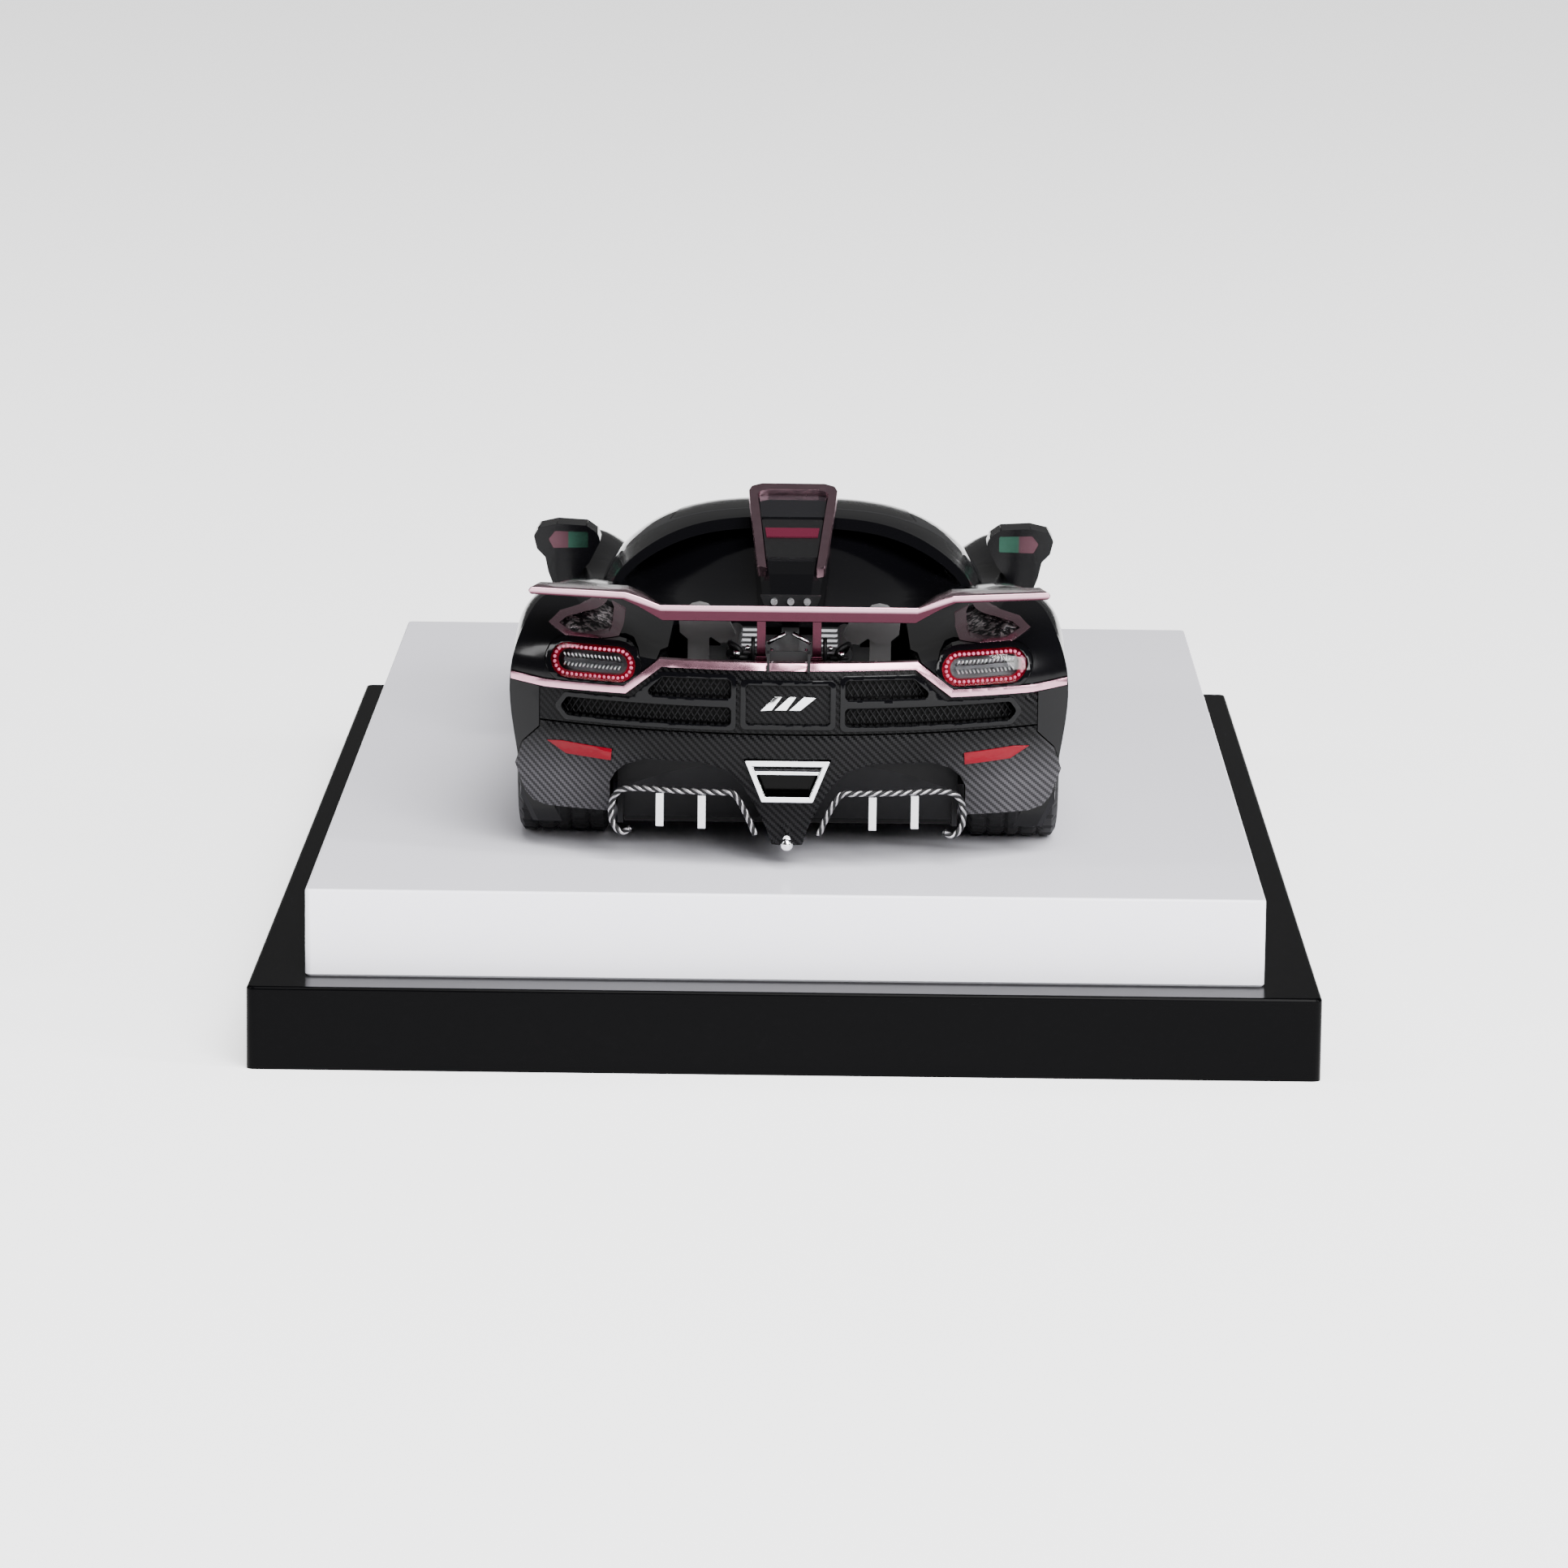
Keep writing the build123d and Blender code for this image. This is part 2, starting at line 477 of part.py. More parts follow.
tip_ring = cut(across([TIP], TAIL - 0.2, TAIL + 1.6), across([grown(TIP, -0.3)], TAIL - 1, TAIL + 1.2))
tip_bar = box(-1.85, 1.85, TAIL - 0.1, TAIL + 1.3, 5.42, 5.62)
exhaust_tip = joined(tip_ring, tip_bar)
save(exhaust_tip, "exhaust_tip")

MOUTH_IN = [(9.3, 2.4), (9.3, 4.6), (8.6, 5.5), (7.8, 5.8), (4.8, 5.8), (3.5, 5.2), (2.6, 4.0), (1.9, 2.4)]
ramp = through([[(-40.0, 6.55), (-35.3, 2.5), (-35.3, 2.0), (-35.9, 2.0), (-40.5, 6.0), (-40.5, 6.55)]], -9.2, 9.2)
strakes = joined(*[box(x - 0.15, x + 0.15, -39.2, -35.35, 1.9, 5.6) for x in (-9.35, -0.9, 0.9, 9.35)])
diffuser = cut(joined(ramp, cut(strakes, end_form(TAIL_FORM, TAIL_C, TAIL_R, -6, 0.85)),
                      box(-0.9, 0.9, -40.3, -35.35, 2.0, 3.4)), across([grown(TIP, 0.1)], TAIL - 2, -39.9))
save(common(diffuser, end_form(TAIL_FORM, TAIL_C, TAIL_R, 0.85)), "diffuser")

HOOP = [(8.75, 1.95), (9.25, 1.72), (9.72, 2.2), (9.82, 3.0), (9.55, 3.85), (8.7, 4.25), (6.0, 4.28), (3.7, 4.3),
        (3.0, 4.25), (2.4, 3.4), (1.75, 1.97)]


def tail_y(x, extra=0.0):
    return TAIL_C - sqrt((TAIL_R + extra) ** 2 - x * x)


hoops = []
for sx in (-1, 1):
    with BuildPart() as hoop:
        with BuildLine() as path:
            Spline(*[(sx * x, tail_y(x, -0.35), ROAD + z) for x, z in HOOP])
        with BuildSketch(Plane(origin=path.line @ 0, z_dir=path.line % 0)):
            Circle(0.19)
        sweep(path=path.line)
    hoops.append(hoop.part)
diffuser_hoops = joined(*hoops)
save(diffuser_hoops, "diffuser_hoops")

diffuser_fins = both_sides(joined(*[box(x - 0.22, x + 0.22, tail_y(x, -0.55), tail_y(x, -1.6), 2.15, 4.08)
                                    for x in (4.75, 7.1)]))
save(diffuser_fins, "diffuser_fins")

with BuildPart() as tow_eye:
    with Locations((0, TAIL + 0.35, ROAD + 1.45)):
        Sphere(0.36)
    with Locations(Location((0, TAIL + 1.6, ROAD + 1.75), (90, 0, 0))):
        Cylinder(0.2, 2.6)
tow_solid = cut(tow_eye.part, rear_bumper, common(diffuser, end_form(TAIL_FORM, TAIL_C, TAIL_R, 0.85)))
save(tow_solid.solids().sort_by(Axis.Y)[0], "tow_eye")

# ---------------------------------------------------------------- trim strip, lamps, vents
trim_loop = TRIM_TOP + TRIM_LOW[:-1] + [(0, 11.25)] + flipped(TRIM_LOW[:-1])[::-1] + flipped(TRIM_TOP[1:])[::-1]
trim_strip = cut(common(end_form(TAIL_FORM, TAIL_C, TAIL_R, -0.2, 0.5), across([trim_loop], TAIL - 3, SEAM_Y),
                        box(-15.58, 15.58, -45, -30, 0, 20)),
                 box(-1.2, -1.05, TAIL - 2, -38, 10, 13), box(1.05, 1.2, TAIL - 2, -38, 10, 13))
save(trim_strip, "trim_strip")

latch_bars = joined(box(-1.2, -1.05, TAIL - 0.32, TAIL + 0.9, 11.22, 12.25), box(1.05, 1.2, TAIL - 0.32, TAIL + 0.9, 11.22, 12.25),
                    box(-1.2, 1.2, TAIL + 0.65, TAIL + 0.9, 11.7, 12.25))
save(latch_bars, "trim_latch")

LENS = slot(LAMP_X, LAMP_Z, LAMP_W, LAMP_H)
RING_IN = slot(LAMP_X, LAMP_Z, LAMP_W - 0.9, LAMP_H - 0.74)
POCKET_FIT = slot(LAMP_X, LAMP_Z, LAMP_W + 0.64, LAMP_H + 0.6)
bezel_rim = cut(pair_on_tail(POCKET_FIT, -0.06, 0.95), across([LENS, flipped(LENS)], TAIL - 2, -36))
lamp_back = pair_on_tail(POCKET_FIT, 0.95, 1.15)
taillight_housings = cut(joined(bezel_rim, lamp_back), across([trim_loop], TAIL - 3, SEAM_Y))
save(taillight_housings, "taillight_housings")

taillight_rings = cut(pair_on_tail(LENS, 0.16, 0.95), across([RING_IN, flipped(RING_IN)], TAIL - 2, -36))
save(taillight_rings, "taillight_rings")

BAR = slot(LAMP_X, LAMP_Z, LAMP_W - 1.5, 0.22)
cores = joined(pair_on_tail(RING_IN, 0.55, 0.95), pair_on_tail(BAR, 0.3, 0.55))
save(cores, "taillight_cores")

save(pair_on_tail(LENS, 0.0, 0.12), "taillight_lenses")

proud_band = common(body_proud, box(-20, 20, -39, -30.5, 11.5, 20))
lamp_room = across([LAMP_POCKET, flipped(LAMP_POCKET)], TAIL - 2, -36)
vent_frames = cut(common(proud_band, across([VENT, flipped(VENT)], -39, -30.5)),
                  across([VENT_IN, flipped(VENT_IN)], -40, -30), lamp_room)
save(vent_frames, "vent_frames")
vent_meshes = common(cut(body_mid, body_inner), across([VENT_IN, flipped(VENT_IN)], -39, -30.5))
save(vent_meshes, "vent_meshes")

# ================================================================ wing
WING_T = [(7.0, 13.9), (8.3, 14.65), (9.2, 15.05), (14.3, 15.3), (14.45, 15.5), (14.3, 15.72), (9.05, 15.47), (8.2, 15.2),
          (7.15, 14.78)]
WING_L = [(7.0, 13.75), (8.3, 14.5), (9.2, 14.85), (14.0, 15.0), (14.1, 15.1), (14.0, 15.2), (9.05, 15.05), (8.2, 14.7),
          (7.15, 13.97)]


def wing_loop(half):
    return half + flipped(half)[::-1]


with BuildPart() as rear_wing:
    for y, half in ((WING_LE, WING_L), (WING_TE, WING_T)):
        loop = wing_loop(half)
        with BuildSketch(station(y)):
            with BuildLine():
                Polyline(*loop, close=True)
            make_face()
    loft(ruled=True)
save(rear_wing.part, "rear_wing")

strut_top = 13.8
wing_struts = both_sides(cut(joined(box(1.3, 1.8, -38.6, -37.9, 11.2, strut_top),
                                    box(1.1, 2.0, -38.8, -37.7, 11.2, 11.5))))
save(cut(wing_struts, rear_wing.part), "wing_struts")

# ================================================================ cabin, deck and engine cover
def deck_profile(s, inset=0.0):
    half = [(x, z - inset) for x, z in zip(DECK_X[::-1], s[:0:-1])]
    return mirrored(half)


with BuildPart() as deck:
    for s in DECK_STATIONS:
        top = deck_profile(s)
        low = deck_profile(s, 0.6)
        with BuildSketch(station(s[0])):
            with BuildLine():
                Spline(*top)
                Spline(*low)
                Line(top[0], low[0])
                Line(top[-1], low[-1])
            make_face()
    loft()

ARCH_TOP, ARCH_FOOT = -10.4, -16.2              # Y of the arch edge at the roof and at the deck
arch_slab = through([[(-30, 8), (-30, 20), (ARCH_TOP - 0.35, 20), (ARCH_TOP - 0.35, 16.2), (ARCH_FOOT, 12.2),
                      (ARCH_FOOT - 1.5, 8)]], -20, 20)
glass_zone = box(-20, 20, GLASS_REAR, 20, 0, 20)
roof_plan = down([[(-ROOF_W + 1.2, ROOF_FRONT), (ROOF_W - 1.2, ROOF_FRONT), (ROOF_W, ROOF_REAR),
                   (-ROOF_W, ROOF_REAR)]], 5, 20, 0.8)
roof_hole = down([[(-ROOF_W + 1.14, ROOF_FRONT + GAP), (ROOF_W - 1.14, ROOF_FRONT + GAP),
                   (ROOF_W + GAP, ROOF_REAR - GAP), (-ROOF_W - GAP, ROOF_REAR - GAP)]], 5, 20, 0.85)
upper_cabin = cut(cabin_skin, body_outer)
spine_foot = [(-1.5, -2.0), (1.5, -2.0), (2.55, -9.0), (2.2, -16), (1.8, -24.5), (-1.8, -24.5), (-2.2, -16),
              (-2.55, -9.0)]

roof_panel = common(upper_cabin, roof_plan)
save(roof_panel, "roof_panel")
cabin_glass = cut(common(upper_cabin, glass_zone), roof_hole)
save(cabin_glass, "cabin_glass")

pillars = cut(upper_cabin, arch_slab, box(-20, 20, GLASS_REAR - GAP, 20, 0, 20))
deck_panel = cut(deck.part, body_shell)
engine_cover = joined(pillars, deck_panel)
save(engine_cover, "engine_cover")

# ---------------------------------------------------------------- roof scoop and its rear window
SPINE = [(-3.0, 1.2, 15.75), (-6.0, 2.1, 16.5), (-10.0, 2.35, 17.0), (-16.0, 2.1, 15.4), (-22.0, 1.75, 13.8),
         (-24.4, 1.6, 12.9)]
with BuildPart() as spine:
    for y, half_w, top in SPINE:
        with BuildSketch(station(y)):
            with BuildLine():
                Polyline((-half_w - 0.25, 10.5), (-half_w, top - 0.5), (-half_w + 0.45, top), (half_w - 0.45, top),
                         (half_w, top - 0.5), (half_w + 0.25, 10.5), close=True)
            make_face()
    loft(ruled=True)
slope = atan2(3.2, 12.0)


def on_slope(loops, low, high, radius=0.0):
    """A piece lying on the spine's sloping rear face: outlines in X and distance down from its top."""
    top_edge = Plane(origin=(0, -10.0, ROAD + 17.0), x_dir=(1, 0, 0), z_dir=(0, -sin(slope), cos(slope)))
    with BuildPart() as piece:
        sheet = outline(top_edge, [[(x, -d) for x, d in points] for points in loops], radius)
        extrude(sheet, amount=max(high, 0.001), dir=(0, -sin(slope), cos(slope)))
        if low < 0:
            extrude(sheet, amount=-low, dir=(0, sin(slope), -cos(slope)))
    return piece.part


FRAME_OUT = [(-2.62, 0.75), (-2.45, 0.05), (-1.85, -0.35), (1.85, -0.35), (2.45, 0.05), (2.62, 0.75), (2.5, 3.0), (1.95, 12.1), (1.45, 12.4), (-1.45, 12.4), (-1.95, 12.1), (-2.5, 3.0)]
FRAME_IN = [(-2.1, 1.35), (-1.97, 0.9), (-1.5, 0.62), (1.5, 0.62), (1.97, 0.9), (2.1, 1.35), (1.98, 3.0), (1.42, 13), (-1.42, 13), (-1.98, 3.0)]
REAR_WINDOW = [(-2.0, 0.9), (2.0, 0.9), (1.86, 4.0), (-1.86, 4.0)]
LAMP_BED = [(-1.8, 4.6), (1.8, 4.6), (1.48, 10.2), (-1.48, 10.2)]
LAMP_RED = [(-1.6, 6.0), (1.6, 6.0), (1.5, 7.3), (-1.5, 7.3)]
roof_frame = cut(on_slope([FRAME_OUT], -0.25, 0.38, 0.2), on_slope([FRAME_IN], -1, 1))
save(roof_frame, "roof_frame")
stop_lamp = on_slope([LAMP_RED], -0.1, 0.2)
lamp_bed = cut(on_slope([LAMP_BED], -0.3, 0.12), stop_lamp)
save(stop_lamp, "stop_lamp")
save(lamp_bed, "stop_lamp_housing")
rear_window = on_slope([REAR_WINDOW], -0.3, 0.05)
save(rear_window, "rear_window")
roof_scoop = cut(spine.part, cabin_outer, deck_panel, roof_frame, on_slope([LAMP_BED], -0.3, 0.5),
                 on_slope([REAR_WINDOW], -0.3, 0.5), box(-1.5, 1.5, -5, 0, 15.9, 18),
                 common(arch_slab, box(-20, 20, -30, 20, 0, 11)))
roof_scoop = cut(roof_scoop, body_shell, engine_cover, roof_panel, cabin_glass)
save(roof_scoop.solids().sort_by(SortBy.VOLUME)[-1], "roof_scoop")

# ---------------------------------------------------------------- bolted bracket, engine, heat shields
PLATE = [(-1.75, 13.05), (1.75, 13.05), (1.25, 11.9), (-1.25, 11.9)]
bracket = across([PLATE], -25.6, -25.0)
save(bracket, "bolted_bracket")
bolt_spots = [(-0.95, 12.75), (0.0, 12.75), (0.95, 12.75), (-0.72, 12.2), (0.72, 12.2)]
with BuildPart() as bracket_bolts:
    for x, z in bolt_spots:
        with Locations(Location((x, -25.72, ROAD + z), (90, 0, 0))):
            Cylinder(0.2, 0.24)
save(bracket_bolts.part, "bracket_bolts")

crankcase = joined(box(-5.0, 5.0, -36.4, -26.0, 6.7, 10.2), box(-4.0, 4.0, -27.0, -24.8, FLOOR_Z + FLOOR_T, 10.2),
                   box(-2.6, 2.6, -35.4, -26.2, 10.2, 10.9), box(-0.5, 0.5, -36.9, -26.0, 10.9, 11.3))
save(crankcase, "engine_block")
PLENUM = slot(0, 0, 1.9, 0.72)
with BuildPart() as manifolds:
    for x in (-2.15, 2.15):
        for k in range(5):
            with Locations(Location((x, -34.8 + 1.9 * k, ROAD + 11.2), (0, 90, 0))):
                Cylinder(0.32, 1.5)
    for x in (-3.1, 3.1):
        with Locations(Location((x, -31.0, ROAD + 11.2), (90, 0, 0))):
            Cylinder(0.45, 8.6)
save(cut(manifolds.part, crankcase), "intake_manifolds")

SHIELD = [(3.0, 12.3), (3.35, 11.85), (3.9, 11.8), (4.4, 12.15), (4.9, 11.8), (5.5, 11.85), (6.15, 12.4), (6.2, 13.0),
          (5.95, 13.55), (5.5, 13.95), (5.05, 14.05), (4.6, 13.95), (4.15, 13.5), (3.4, 13.1)]
heat_shields = both_sides(joined(across([SHIELD], -35.4, -34.6), box(4.5, 5.7, -35.3, -34.7, 10.2, 12.2)))
save(cut(heat_shields, body_shell, rear_wing.part), "heat_shields")

# ================================================================ nose and sides
BONNET_Z = 9.0
nose_meshes = on_nose([NOSE_INTAKE, flipped(NOSE_INTAKE), NOSE_MOUTH], 0.4, 0.6, 0.25)
save(nose_meshes, "nose_meshes")

SPLITTER = [(-12.6, 20.6), (-9.5, 23.6), (-5.2, 25.5), (0, 26.1), (5.2, 25.5), (9.5, 23.6), (12.6, 20.6), (11.6, 20.3),
            (-11.6, 20.3)]
front_splitter = down([SPLITTER], 1.1, 1.55, 0.3)
save(cut(front_splitter, chassis_plate.part), "front_splitter")

lens_zone = both_sides(down([HEADLAMP], 4, 15, 0.25))
lens_block = common(body_outer, lens_zone)
save(cut(lens_block, dropped(body_outer, 0.16), *arches), "headlight_lenses")
save(cut(common(lens_block, dropped(body_outer, 0.3)), dropped(body_outer, 0.6), *arches), "headlight_inserts")

intake_zone = both_sides(through([SIDE_INTAKE], 12.5, 18, 0.4))
side_block = common(lofted(BODY_STATIONS, body_profile, 0.45), intake_zone)
save(cut(side_block, body_inner), "side_meshes")

SKIRT = [(13.2, 6.2), (14.75, 6.0), (14.7, -6), (15.1, -22.0), (13.4, -22.6)]
side_skirts = both_sides(down([SKIRT], 1.15, 1.58))
save(side_skirts, "side_skirts")

# ---------------------------------------------------------------- mirrors
HEAD = [(11.75, 12.5), (11.95, 13.0), (12.6, 13.45), (14.4, 13.55), (15.5, 13.3), (15.8, 12.8), (15.6, 12.0), (15.1, 11.5),
        (14.9, 10.6), (14.6, 9.8), (13.3, 9.8), (12.9, 10.6), (12.4, 11.2)]
head_block = across([HEAD], -0.2, 2.6, 0.2)
glass_loop = [(12.5, 12.1), (12.5, 13.05), (14.5, 13.1), (14.9, 12.6), (14.6, 12.05)]
mirror_shells = both_sides(cut(head_block, body_outer, across([glass_loop], -1, 0.05, 0.1)))
save(mirror_shells, "mirror_shells")
save(both_sides(across([glass_loop], -0.15, 0.05, 0.1)), "mirror_glass")

with BuildPart() as wiper:
    with BuildLine() as blade:
        Spline((0.5, 13.0, ROAD + 10.35), (-2.5, 10.4, ROAD + 11.7), (-4.9, 7.6, ROAD + 12.6))
    with BuildSketch(Plane(origin=blade.line @ 0, z_dir=blade.line % 0)):
        Circle(0.14)
    sweep(path=blade.line)
save(cut(wiper.part, cabin_outer, body_outer), "wiper")

# ================================================================ interior
tub_outer = down([[(-9.4, -9.0), (-9.4, 4.0), (-7.2, 10.4), (7.2, 10.4), (9.4, 4.0), (9.4, -9.0)]], 2.45, 8.6)
tub_void = down([[(-8.9, -8.5), (-8.9, 3.9), (-6.9, 9.0), (6.9, 9.0), (8.9, 3.9), (8.9, -8.5)]], 3.0, 12)
tunnel = box(-0.9, 0.9, -8.5, 7.0, 3.0, 6.0)
dash = common(through([[(4.6, 3.0), (4.2, 8.4), (6.0, 9.3), (9.5, 9.2), (9.5, 3.0)]], -7.6, 7.6),
              down([[(-8.9, -8.5), (-8.9, 3.9), (-6.9, 9.0), (6.9, 9.0), (8.9, 3.9), (8.9, -8.5)]], 2.5, 12))
save(cut(joined(cut(tub_outer, tub_void), tunnel, dash), body_shell, cabin_glass), "interior_tub")

SEAT = [(-7.9, 10.9), (-8.3, 8.4), (-7.7, 4.2), (-6.6, 3.05), (0.6, 3.05), (0.9, 5.0), (-0.4, 5.2), (-5.2, 4.6),
        (-6.4, 6.2), (-7.1, 11.0)]
seats = both_sides(joined(through([SEAT], 2.6, 6.6, 0.15), through([[(-7.9, 8), (-7.4, 4), (0.4, 3.05), (0.7, 5.8),
                                                                     (-5.0, 6.1), (-6.9, 9.4)]], 2.1, 2.7),
                          through([[(-7.9, 8), (-7.4, 4), (0.4, 3.05), (0.7, 5.8), (-5.0, 6.1), (-6.9, 9.4)]], 6.5, 7.1)))
save(seats, "seats")

with BuildPart() as steering_wheel:
    with Locations(Location((-4.6, 2.9, ROAD + 8.2), (70, 0, 0))):
        Torus(1.45, 0.2)
        Box(2.8, 0.35, 0.2)
        Box(0.35, 2.8, 0.2)
        with Locations((0, 0, -0.7)):
            Cylinder(0.25, 1.5)
save(cut(steering_wheel.part, joined(cut(tub_outer, tub_void), tunnel, dash)), "steering_wheel")

# ================================================================ wheels
def wheel_rim(radius, width, out, y, z, blades):
    rim_r = radius * RIM_SHARE
    profile = [(out - 0.1, rim_r), (out - 0.1, rim_r - 0.32), (out - 0.75, rim_r - 0.5), (out - width + 0.4, rim_r - 0.5),
               (out - width + 0.2, rim_r - 0.2), (out - width + 0.2, rim_r)]
    with BuildPart() as rim:
        with BuildSketch(Plane(origin=(0, y, ROAD + z), x_dir=(1, 0, 0), z_dir=(0, -1, 0))):
            with BuildLine():
                Polyline(*profile, close=True)
            make_face()
        revolve(axis=Axis((0, y, ROAD + z), (1, 0, 0)))
        for k in range(blades):
            turn = 360 * k / blades
            with BuildSketch(Plane(origin=(out - 1.15, y, ROAD + z), x_dir=(0, 1, 0), z_dir=(1, 0, 0))
                             .rotated((0, 0, 0))):
                with Locations(Rotation(0, 0, turn)):
                    Polygon((0.75, -0.32), (rim_r - 0.4, -0.52), (rim_r - 0.35, -0.05), (0.75, 0.25), align=None)
            extrude(amount=0.62)
        with Locations(Location((out - 0.85, y, ROAD + z), (0, 90, 0))):
            Cylinder(1.1, 0.8)
            Cylinder(AXLE_R, 8, mode=Mode.SUBTRACT)
    return rim.part


def wheel_tyre(radius, width, out, y, z):
    rim_r = radius * RIM_SHARE
    r = radius
    profile = [(out - 0.1, rim_r), (out, rim_r + 0.25), (out - 0.02, r - 0.55), (out - 0.22, r - 0.12), (out - 0.6, r),
               (out - width + 0.6, r), (out - width + 0.22, r - 0.12), (out - width + 0.02, r - 0.55),
               (out - width, rim_r + 0.25), (out - width + 0.2, rim_r)]
    with BuildPart() as tyre:
        with BuildSketch(Plane(origin=(0, y, ROAD + z), x_dir=(1, 0, 0), z_dir=(0, -1, 0))):
            with BuildLine():
                Polyline(*profile, close=True)
            make_face()
        revolve(axis=Axis((0, y, ROAD + z), (1, 0, 0)))
    return tyre.part


wheel_sets = (("rear", REAR_R, REAR_TYRE_W, REAR_OUT, REAR_AXLE, REAR_Z),
              ("front", FRONT_R, FRONT_TYRE_W, FRONT_OUT, FRONT_AXLE, FRONT_Z))
for name, radius, width, out, y, z in wheel_sets:
    save(both_sides(wheel_rim(radius, width, out, y, z, 10)), f"{name}_rims")
    save(both_sides(wheel_tyre(radius, width, out, y, z)), f"{name}_tyres")
    save(rod(AXLE_R, -out + 0.5, out - 0.5, y, z), f"{name}_axle")
    disc = both_sides(cut(rod(radius * 0.5, out - 2.3, out - 1.95, y, z), rod(AXLE_R, out - 5, out, y, z)))
    save(disc, f"{name}_brake_discs")
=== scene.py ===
import math

import bpy
from mathutils import Matrix, Vector


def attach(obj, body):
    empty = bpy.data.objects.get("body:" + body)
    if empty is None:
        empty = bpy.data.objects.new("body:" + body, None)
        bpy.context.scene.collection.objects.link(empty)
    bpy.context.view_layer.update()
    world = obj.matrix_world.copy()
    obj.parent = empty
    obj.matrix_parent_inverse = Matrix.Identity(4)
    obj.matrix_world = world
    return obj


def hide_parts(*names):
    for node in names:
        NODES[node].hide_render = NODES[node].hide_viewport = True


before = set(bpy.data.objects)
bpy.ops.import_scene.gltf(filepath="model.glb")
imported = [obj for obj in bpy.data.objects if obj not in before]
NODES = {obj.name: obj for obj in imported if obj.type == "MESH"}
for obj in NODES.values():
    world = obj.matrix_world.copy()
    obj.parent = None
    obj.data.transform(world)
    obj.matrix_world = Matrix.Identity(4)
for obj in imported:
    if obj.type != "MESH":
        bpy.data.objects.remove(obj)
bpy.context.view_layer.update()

MM = 0.001
ROAD = 9.45                      # height the car stands at, mm
TAIL_C, TAIL_R = -17.6, 24.0     # centre and radius of the tail in plan, mm
TAIL = TAIL_C - TAIL_R           # rearmost point of the tail, mm
REAR_WHEEL = {"radius": 5.55, "width": 5.2, "out": 15.3, "axle_y": -29.3, "axle_z": 5.61}
FRONT_WHEEL = {"radius": 5.0, "width": 4.0, "out": 14.45, "axle_y": 12.3, "axle_z": 5.06}
LAMP_X, LAMP_Z = 10.9, 11.15     # centre of a tail lamp, mm
LED_W, LED_H = 4.35, 1.5         # line of the LED beads, mm
WING_FLAT, WING_RAMP, WING_RISE = 7.1, 2.0, 0.7   # half width of the flat, length and rise of the ramps, mm
WING_HIGHLIGHT_Z = 14.42                # height at which the painted highlight along the flat's upper edge starts, mm
MIRROR_SPLIT = 13.7              # where the mirror's tint changes, mm from the middle


# ------------------------------------------------------------------ material helpers
class Mat:
    """A Principled material and shortcuts for its nodes."""

    def __init__(self, name, base, metallic=0.0, rough=0.5, ior=1.45, **extra):
        self.mat = bpy.data.materials.new(name)
        self.mat.use_nodes = True
        self.tree = self.mat.node_tree
        self.bsdf = self.tree.nodes["Principled BSDF"]
        self.set("Base Color", (*base, 1.0))
        self.set("Metallic", metallic)
        self.set("Roughness", rough)
        self.set("IOR", ior)
        for key, value in extra.items():
            self.set(key.replace("_", " "), value)

    def set(self, socket, value):
        self.bsdf.inputs[socket].default_value = value

    def node(self, kind, **props):
        n = self.tree.nodes.new(kind)
        for key, value in props.items():
            setattr(n, key, value)
        return n

    def link(self, a, b):
        self.tree.links.new(a, b)

    def math(self, op, a, b=None):
        n = self.node("ShaderNodeMath", operation=op)
        for i, v in enumerate((a, b)):
            if v is None:
                continue
            if isinstance(v, (int, float)):
                n.inputs[i].default_value = v
            else:
                self.link(v, n.inputs[i])
        return n.outputs[0]

    def coords(self, scale=1.0):
        """x, y and z of the surface in millimetres, scaled."""
        tex = self.node("ShaderNodeTexCoord")
        split = self.node("ShaderNodeSeparateXYZ")
        self.link(tex.outputs["Object"], split.inputs[0])
        return [self.math("MULTIPLY", split.outputs[i], 1000.0 * scale) for i in range(3)]

    def clamped(self, value):
        return self.math("MAXIMUM", self.math("MINIMUM", value, 1.0), 0.0)

    def mix(self, factor, a, b):
        """Colour between a and b; each is a colour or another node's output."""
        n = self.node("ShaderNodeMix", data_type="RGBA")
        self.link(factor, n.inputs["Factor"])
        for key, colour in (("A", a), ("B", b)):
            if isinstance(colour, tuple):
                n.inputs[key].default_value = (*colour, 1.0)
            else:
                self.link(colour, n.inputs[key])
        return n.outputs["Result"]

    def noise(self, scale, detail=2.0):
        """Noise over the surface; scale is in features per millimetre."""
        tex = self.node("ShaderNodeTexCoord")
        n = self.node("ShaderNodeTexNoise")
        n.inputs["Scale"].default_value = scale * 1000.0
        n.inputs["Detail"].default_value = detail
        self.link(tex.outputs["Object"], n.inputs["Vector"])
        return n.outputs["Fac"]

    def bump(self, height, strength, distance):
        n = self.node("ShaderNodeBump")
        n.inputs["Strength"].default_value = strength
        n.inputs["Distance"].default_value = distance * MM
        self.link(height, n.inputs["Height"])
        self.link(n.outputs["Normal"], self.bsdf.inputs["Normal"])

    def rough_from(self, factor, low, high):
        n = self.node("ShaderNodeMapRange")
        n.inputs["To Min"].default_value = low
        n.inputs["To Max"].default_value = high
        self.link(factor, n.inputs["Value"])
        self.link(n.outputs[0], self.bsdf.inputs["Roughness"])


def lacquer():
    m = Mat("black_lacquer", (0.0015, 0.0015, 0.002), rough=0.14, ior=1.28, Specular_IOR_Level=0.35, Coat_Weight=0.2,
            Coat_Roughness=0.03, Coat_IOR=1.2)
    m.bump(m.noise(0.5, 2), 0.05, 0.02)
    return m.mat


